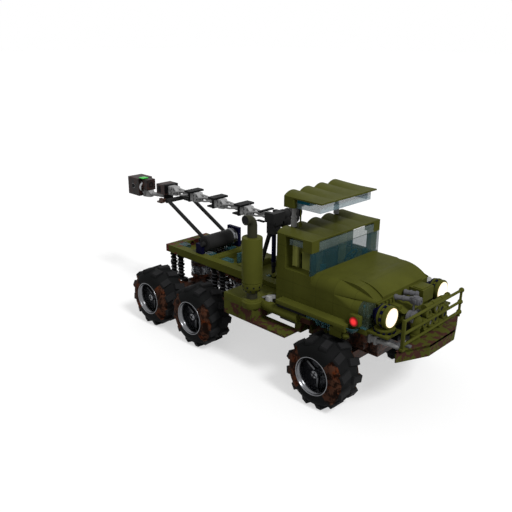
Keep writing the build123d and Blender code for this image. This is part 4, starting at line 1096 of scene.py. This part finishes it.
# %% Grey arms
ARM_Z, UPPER_Z = 51.0, 76.9
CLIP = [(-0.7, 1.7), (-0.7, 2.1), (0.7, 2.1), (0.7, 1.7), (-0.7, 1.7)]
arms = Shape()
for rear_y, front_x, front_y in ((-12.0, 151.0, -7.0), (0.0, 148.6, 3.4)):
    start, tip = Vector((139.0, rear_y, UPPER_Z)), Vector((front_x, front_y, UPPER_Z))
    arms.rod(start, tip, 1.7, 12)
    for share in (0.12, 0.5, 0.88):
        middle = start.lerp(tip, share)
        arms.turned(middle, tip - start, CLIP, 14)
arms.brick((149.8, 156.3), (-9.6, -4.4), (74.4, 79.4), 0.8)
arms.brick((151.6, 154.4), (-10.2, -3.6), (75.4, 78.4), 0.4)
arms.turned((153.0, -7.0, 79.2), UP, [(0.0, 2.0), (0.6, 2.0), (0.7, 1.2), (0.7, 0.0)], 16)
arms.turned((156.0, -7.0, UPPER_Z), AHEAD, [(0.0, 1.9), (0.7, 1.9), (0.8, 1.1), (0.2, 1.0), (0.2, 0.0)], 16)
for side in (1, -1):
    y = side * 26.5
    arms.turned((140.0, y, ARM_Z), AHEAD, [
        (0.0, 0.0), (0.0, 1.9), (6.0, 1.9), (6.2, 2.3), (8.0, 2.3), (8.2, 1.9), (13.0, 1.9),
        (13.2, 2.4), (16.6, 2.4), (16.6, 0.0)], 18)
    arms.rod((146.0, side * 9.0, 50.0), (168.0, side * 9.0, 50.0), 1.8, 12)
    for x, half, z, edge in (
            ((134.0, 136.2), 3.0, (48.0, 54.0), 0.3), ((138.8, 141.0), 3.0, (48.0, 54.0), 0.3),
            ((134.0, 141.0), 3.0, (50.4, 51.6), 0.2), ((134.4, 140.6), 2.2, (48.4, 53.6), 0.2)):
        arms.brick(x, (y - half, y + half), z, edge)
    arms.brick((136.0, 140.0), (side * 14.0, side * 23.5), (49.0, 53.0), 0.4)
arms = arms.piece("front_bars", grey)
couplings = Shape()
for side in (1, -1):
    y = side * 29.6
    for x, half, z in (((134.0, 136.0), 2.4, (48.4, 54.6)), ((138.6, 140.6), 2.4, (48.4, 54.6)),
                       ((134.0, 140.6), 1.6, (49.4, 53.6))):
        couplings.brick(x, (y - half, y + half), z, 0.3)
    couplings.rod((140.0, y, ARM_Z), (156.0, y + side * -2.0, ARM_Z), 1.5, 14)
# The couplings get the paler bone grey, not the bars' grey: painted light, as they sit in shade under the
# shelf.
couplings = couplings.piece("front_connectors", bone)
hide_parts("front_arms")
print("arms ready")

# %% [markdown]
# ## Nose
# Under the hood's edge runs a comb of upright fins with dark slots. Brown bricks fill the space over
# the front axle, and the bumper is a bent plate with a lip along its top.

# %% Nose and front underside
comb = Shape()
for index in range(5):
    y = -30.6 + 4.1 * index
    comb.brick((NOSE_X, 140.4), (y, y + 2.2), (69.0, 77.0), 0.2)
comb.brick((NOSE_X, 139.6), (-31.6, -12.4), (77.0, 78.2), 0.2)
comb.brick((NOSE_X, 146.4), (-17.0, -12.6), (69.0, 73.6), 0.3)
comb.brick((NOSE_X, 143.6), (-21.5, -16.5), (66.0, 71.4), 0.3)
comb.brick((140.6, 148.0), (9.0, 21.0), (78.2, 78.9), 0.2)
comb.turned((123.5, -42.6, 54.6), (0.5, -0.4, -0.5), [
    (0.0, 0.0), (0.0, 1.6), (0.4, 2.2), (3.0, 2.2), (3.4, 1.4), (3.4, 0.0)], 16)
comb = comb.piece("nose_comb", olive)
slots = Shape()
slots.brick((138.2, 138.9), (-31.2, -12.6), (69.2, 77.0), 0.1)
slots.brick((146.2, 152.0), (-22.0, -9.4), (57.0, 60.0), 0.2)
slots = slots.piece("nose_slots", dark_hole)
blocks = Shape()
blocks.brick((112.0, 128.0), (-27.0, -17.0), (38.4, 56.8), 0.5)
blocks.brick((133.0, 139.0), (-27.0, -14.0), (40.0, 48.0), 0.5)
blocks.brick((129.0, 134.0), (-33.4, -27.4), (48.0, 56.8), 0.4)
blocks = blocks.mirrored()
blocks.brick((147.0, 151.0), (-6.6, -2.6), (46.0, 52.0), 0.3)
blocks.brick((147.0, 151.0), (-8.0, -4.0), (53.0, 58.6), 0.3)
blocks = blocks.piece("nose_brown_blocks", brown)
KNEE = 16.5      # how far out the bumper bends back
bumper = Shape()
EDGE = ((160.2, -39.5), (161.1, -39.5), (171.1, -KNEE), (171.1, KNEE), (161.1, 39.5), (160.2, 39.5))
INNER = ((160.2, -37.9), (160.6, -37.9), (169.4, -KNEE), (169.4, KNEE), (160.6, 37.9), (160.2, 37.9))
for outer, inner in zip(zip(EDGE, EDGE[1:]), zip(INNER, INNER[1:])):
    corners = (outer[0], outer[1], inner[1], inner[0])
    bumper.loft([[(x, y, 46.5) for x, y in corners], [(x, y, 54.4) for x, y in corners]])
bumper.loft([[(x, y, 52.8) for x, y in EDGE], [(x, y, 54.5) for x, y in EDGE]])
bumper = bumper.piece("bumper_plates", camo_light, angle=20)
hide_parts("bumper")
print("nose ready")

# %% [markdown]
# ## Exhaust stack and side boxes
# The stack stands on a perforated ring of connectors that narrows to a dark pipe, over a round boss
# in the box's corner. The box is olive above and camouflaged below, so its upper half is a brick of
# its own. Over the round tank runs a dark seam under the sill's edge, drawn as a black line of painted shade.

# %% Stack, boss and boxes
STACK_X, STACK_Y = 43.4, -50.0
stack = Shape()
stack.turned((STACK_X, STACK_Y, 63.5), UP, [
    (0.0, 0.0), (0.0, 4.9), (0.6, 5.5), (2.4, 6.6), (3.2, 7.2), (3.6, 7.4), (7.4, 7.5), (7.6, 7.1),
    (8.0, 7.1), (8.2, 7.6), (41.2, 7.6), (41.7, 7.3), (41.7, 3.9)], 48)
stack.turned((STACK_X, STACK_Y, 57.0), UP, [
    (0.0, 0.0), (0.0, 7.2), (0.8, 7.2), (1.4, 6.4), (1.4, 4.1), (0.0, 4.1)], 36)
stack.turned((44.6, -51.4, 50.4), UP, [
    (0.0, 0.0), (0.6, 4.6), (1.8, 6.6), (3.4, 7.4), (6.6, 7.6), (7.2, 7.2), (7.2, 0.0)], 36)
stack = stack.piece("stack_and_boss", olive)
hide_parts("exhaust_stack")
for row, radius, z, start in (("upper", 7.35, 68.6, 0.0), ("lower", 6.3, 65.4, math.pi / 10)):
    holes = blocks_round(f"stack_holes_{row}", 10, (0.6, 1.3, 1.2), radius, dark_hole, "chassis",
                         [(STACK_X, STACK_Y, z)], start, turn=UPRIGHT)
pipe = Shape().turned((STACK_X, STACK_Y, 57.6), UP, [
    (0.0, 3.2), (0.0, 4.0), (5.9, 4.0), (5.9, 3.2), (0.0, 3.2)], 28)
BEND, BEND_LOW, MOUTH_Z = 5.0, 113.8, 118.8      # the pipe's bend: its radius, where it starts and ends
bend = [(STACK_X, STACK_Y, 104.8 + 2.2 * i) for i in range(5)]
for degrees in range(15, 105, 15):
    a = math.radians(degrees)
    bend.append((STACK_X, STACK_Y - BEND * (1 - math.cos(a)), BEND_LOW + BEND * math.sin(a)))
bend.append((STACK_X, STACK_Y - 5.8, MOUTH_Z))
pipe.tube(bend, 3.6, 24)
pipe.turned((STACK_X, STACK_Y - 5.8, MOUTH_Z), RIGHT, [
    (-0.2, 3.6), (1.2, 3.6), (1.2, 3.0), (-1.6, 2.8), (-1.6, 0.0)], 24)
pipe = pipe.piece("stack_pipes", pipe_grey, angle=50)
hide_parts("exhaust_pipes")
edges = Shape()
edges.turned((STACK_X, STACK_Y - 6.9, MOUTH_Z), RIGHT, [(0.1, 2.9), (0.12, 2.9), (0.12, 0.0)], 24)
edges = edges.piece("pipe_mouth_shadow", dark_hole)
tops = Shape()
tops.brick((19.3, 49.5), (-56.1, -24.4), (51.6, 57.7))
tops = tops.mirrored()
tops.turned((49.8, -46.2, 54.2), (1, -0.35, 0.1), [
    (-4.0, 0.0), (-4.0, 3.6), (0.0, 3.6), (0.4, 3.2), (0.4, 0.0)], 20)
tops.brick((49.2, 52.4), (-41.6, -36.0), (52.0, 60.4), 0.3)
tops = tops.piece("box_tops", olive)
pins = blocks_round("connector_pins", 4, (1.3, 0.7, 1.3), 1.8, grey, "chassis", [(50.4, -46.4, 54.3)], 0.6,
                    turn=(0.0, 0.0, math.pi / 2 - 0.34))
bracket = Shape()
bracket.loft([
    [(48.0, -44.4, 58.0), (56.8, -40.2, 58.6), (56.8, -40.2, 61.6), (54.0, -42.6, 61.6), (48.0, -44.4, 58.8)],
    [(48.0, -43.4, 58.0), (57.4, -39.4, 58.6), (57.4, -39.4, 61.6), (54.4, -41.8, 61.6),
     (48.0, -43.4, 58.8)]])
bracket.brick((51.6, 55.4), (-44.6, -40.6), (49.6, 60.6), 0.4)
bracket.brick((50.0, 53.0), (-43.9, -42.4), (49.2, 54.0), 0.3)
bracket = bracket.piece("grey_bracket", bone)
print("stack and boxes ready")

# %% [markdown]
# ## Sills
# The sill is a plate with a smooth top. Below it lie the tank, the arch block and clear blue bricks.

# %% Sills and tanks
sills = Shape()
sills.brick((65.0, 126.0), (-48.0, -40.0), (60.0, 63.0))
sills.brick((65.0, 90.4), (-41.6, -40.0), (57.0, 60.2), 0.2)
sills.turned((49.4, -44.0, 53.2), AHEAD, [
    (0.0, 0.0), (0.0, 3.8), (12.4, 3.8), (12.5, 3.6), (12.7, 3.6), (12.8, 3.8), (34.6, 3.8),
    (34.6, 0.0)], 28)
sills.brick((84.0, 93.8), (-43.6, -35.8), (50.8, 57.0), 0.4)
sills.brick((116.0, 126.0), (-47.0, -41.0), (57.4, 60.2), 0.3)
sills.brick((112.0, 122.0), (-45.4, -39.0), (51.4, 57.6), 0.4)
sills = sills.mirrored().piece("sill_plates", olive)
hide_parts("sills")
# A black line under the sill's edge, part seam and part painted shade, and a black sheet of painted shade
# inside the arch.
seam_and_shade = Shape()
seam_and_shade.brick((65.0, 92.0), (-46.8, -40.4), (57.6, 60.1), 0.1)
seam_and_shade.brick((56.0, 83.6), (-33.0, -31.0), (40.4, 56.8), 0.3)
seam_and_shade = seam_and_shade.mirrored().piece("sill_shadow", black)
arch = Shape()
arch.brick((80.0, 85.8), (-43.8, -35.6), (42.2, 50.6), 0.4)
arch.brick((84.6, 93.9), (-43.7, -36.0), (50.6, 54.6), 0.3)
arch.brick((78.0, 99.0), (-25.4, -17.0), (33.0, 50.0), 0.4)
arch = arch.mirrored().piece("arch_faces", camo)
blues = Shape()
for index in range(3):
    x = 94.6 + 5.6 * index
    blues.turned((x + 2.6, -38.0 - 0.6 * index, 51.0 + 0.3 * index), UP, [
        (0.0, 0.0), (0.0, 2.4), (3.2, 2.4), (3.4, 3.3), (6.0, 3.3), (6.0, 0.0)], 20)
blues.brick((94.4, 104.0), (-42.6, -35.0), (55.4, 57.4), 0.2)
blues.brick((88.0, 102.0), (-46.4, -43.8), (57.4, 59.8), 0.2)
blues = blues.mirrored().piece("arch_blue_bricks", clear_brick)
print("sills ready")

# %% [markdown]
# ## Cab
# Inside, olive bricks line the cab, two seats stand in front of the rear wall, and a blue steering
# wheel shows through the windscreen. The windscreen has two parts: pale glass above, blue below.

# %% Cab inside and glass
inside = Shape()
inside.brick((61.4, 61.9), (-31.9, 31.9), (60.4, 107.4), 0.1)
for side in (1, -1):
    for x, near, far, z, edge in (
            ((61.6, 89.0), 31.4, 32.0, (60.4, 84.6), 0.1), ((65.4, 66.4), 22.8, 31.9, (62.0, 106.0), 0.2),
            ((66.0, 76.0), 17.0, 26.0, (66.0, 70.6), 1.2), ((69.4, 70.4), 16.5, 25.5, (70.0, 96.0), 0.4)):
        inside.brick(x, (side * near, side * far), z, edge)
    inside.turned((66.0, side * 21.5, 92.4), UP, [
        (0.0, 0.0), (0.0, 2.2), (3.6, 2.2), (4.4, 1.4), (4.4, 0.0)], 16)
inside.brick((61.8, 70.0), (-31.4, -29.0), (84.0, 107.0), 0.5)
inside.brick((61.8, 64.0), (-6.0, 6.0), (62.0, 96.0), 0.8)
inside.brick((84.0, 88.4), (32.5, 39.8), (85.0, 101.4), 0.2)
# The lining's lighter olive is painted light inside the shaded cab.
inside = inside.piece("cab_lining", olive_painted_light)
PANE, PANE_SPLIT = (88.6, 90.2), 101.4      # the windscreen's thickness, and where its two parts meet
low_glass = Shape().brick(PANE, (-40.0, 40.0), (85.0, PANE_SPLIT), 0.15)
low_glass = low_glass.piece("windscreen_low", clear_blue)
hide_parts("windscreen")
high_glass = Shape().brick(PANE, (-32.0, 32.0), (PANE_SPLIT, 107.9), 0.15)
for side in (1, -1):
    high_glass.brick((70.0, 88.4), (side * 36.0, side * 39.6), (103.4, 107.6), 0.15)
high_glass = high_glass.piece("windscreen_high", clear_pale)
STEERING_AT = Vector((80.0, 19.0, 83.4))
blue_things = Shape()
turns = [2 * math.pi * i / 24 for i in range(25)]
rim = [STEERING_AT + Vector((3.0 * math.sin(a), 6.0 * math.cos(a), 5.4 * math.sin(a))) for a in turns]
blue_things.tube(rim, 0.7, 8)
blue_things.rod(STEERING_AT - Vector((0, 5.6, 0)), STEERING_AT + Vector((0, 5.6, 0)), 0.6, 8)
blue_things.rod(STEERING_AT, STEERING_AT + Vector((5.0, 0, -4.0)), 0.9, 8)
blue_things.rod((84.0, 14.0, 80.0), (84.0, 14.0, 98.0), 0.35, 8)
for y in (-24.0, 26.0):
    blue_things.brick((85.0, 88.0), (y, y + 3.0), (79.0, 88.6), 0.2)
blue_things.brick((84.0, 86.0), (-14.0, -3.0), (79.0, 82.0), 0.2)
blue_things = blue_things.piece("cab_blue_controls", deep_blue)
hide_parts("steering_wheel")
print("cab ready")

# %% Hat details
hat = Shape()
for side in (-1, 1):
    hat.brick((56.9, 66.4), (side * 21.0, side * 31.9), (126.9, 133.4))
hat.rod((66.3, -24.6, 112.4), (66.3, -24.6, 127.2), 0.6, 10)
hat.rod((66.3, -24.6, 112.4), (66.3, -24.6, 115.0), 1.1, 10)
hat.turned((58.6, -9.4, 133.8), LEFT, [(0.0, 0.0), (0.0, 1.5), (3.0, 1.5), (3.0, 0.0)], 12)
hat = hat.piece("hat_corners", olive)
posts = Shape()
for side in (1, -1):
    posts.turned((60.1, side * 24.6, 111.4), UP, [
        (0.0, 0.0), (0.0, 2.2), (4.8, 2.2), (5.0, 1.8), (6.2, 1.8), (6.4, 2.2), (7.4, 2.2), (7.6, 1.6),
        (15.4, 1.6), (15.4, 0.0)], 20)
posts = posts.piece("hat_post_rings", bone)
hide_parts("hat_posts")
under = Shape()
for y in (-29.0, -9.0, 11.0):
    under.brick((66.6, 78.0), (y, y + 12.0), (130.4, 134.2), 0.2)
under = under.piece("hat_blue_bricks", deep_blue)
print("hat ready")
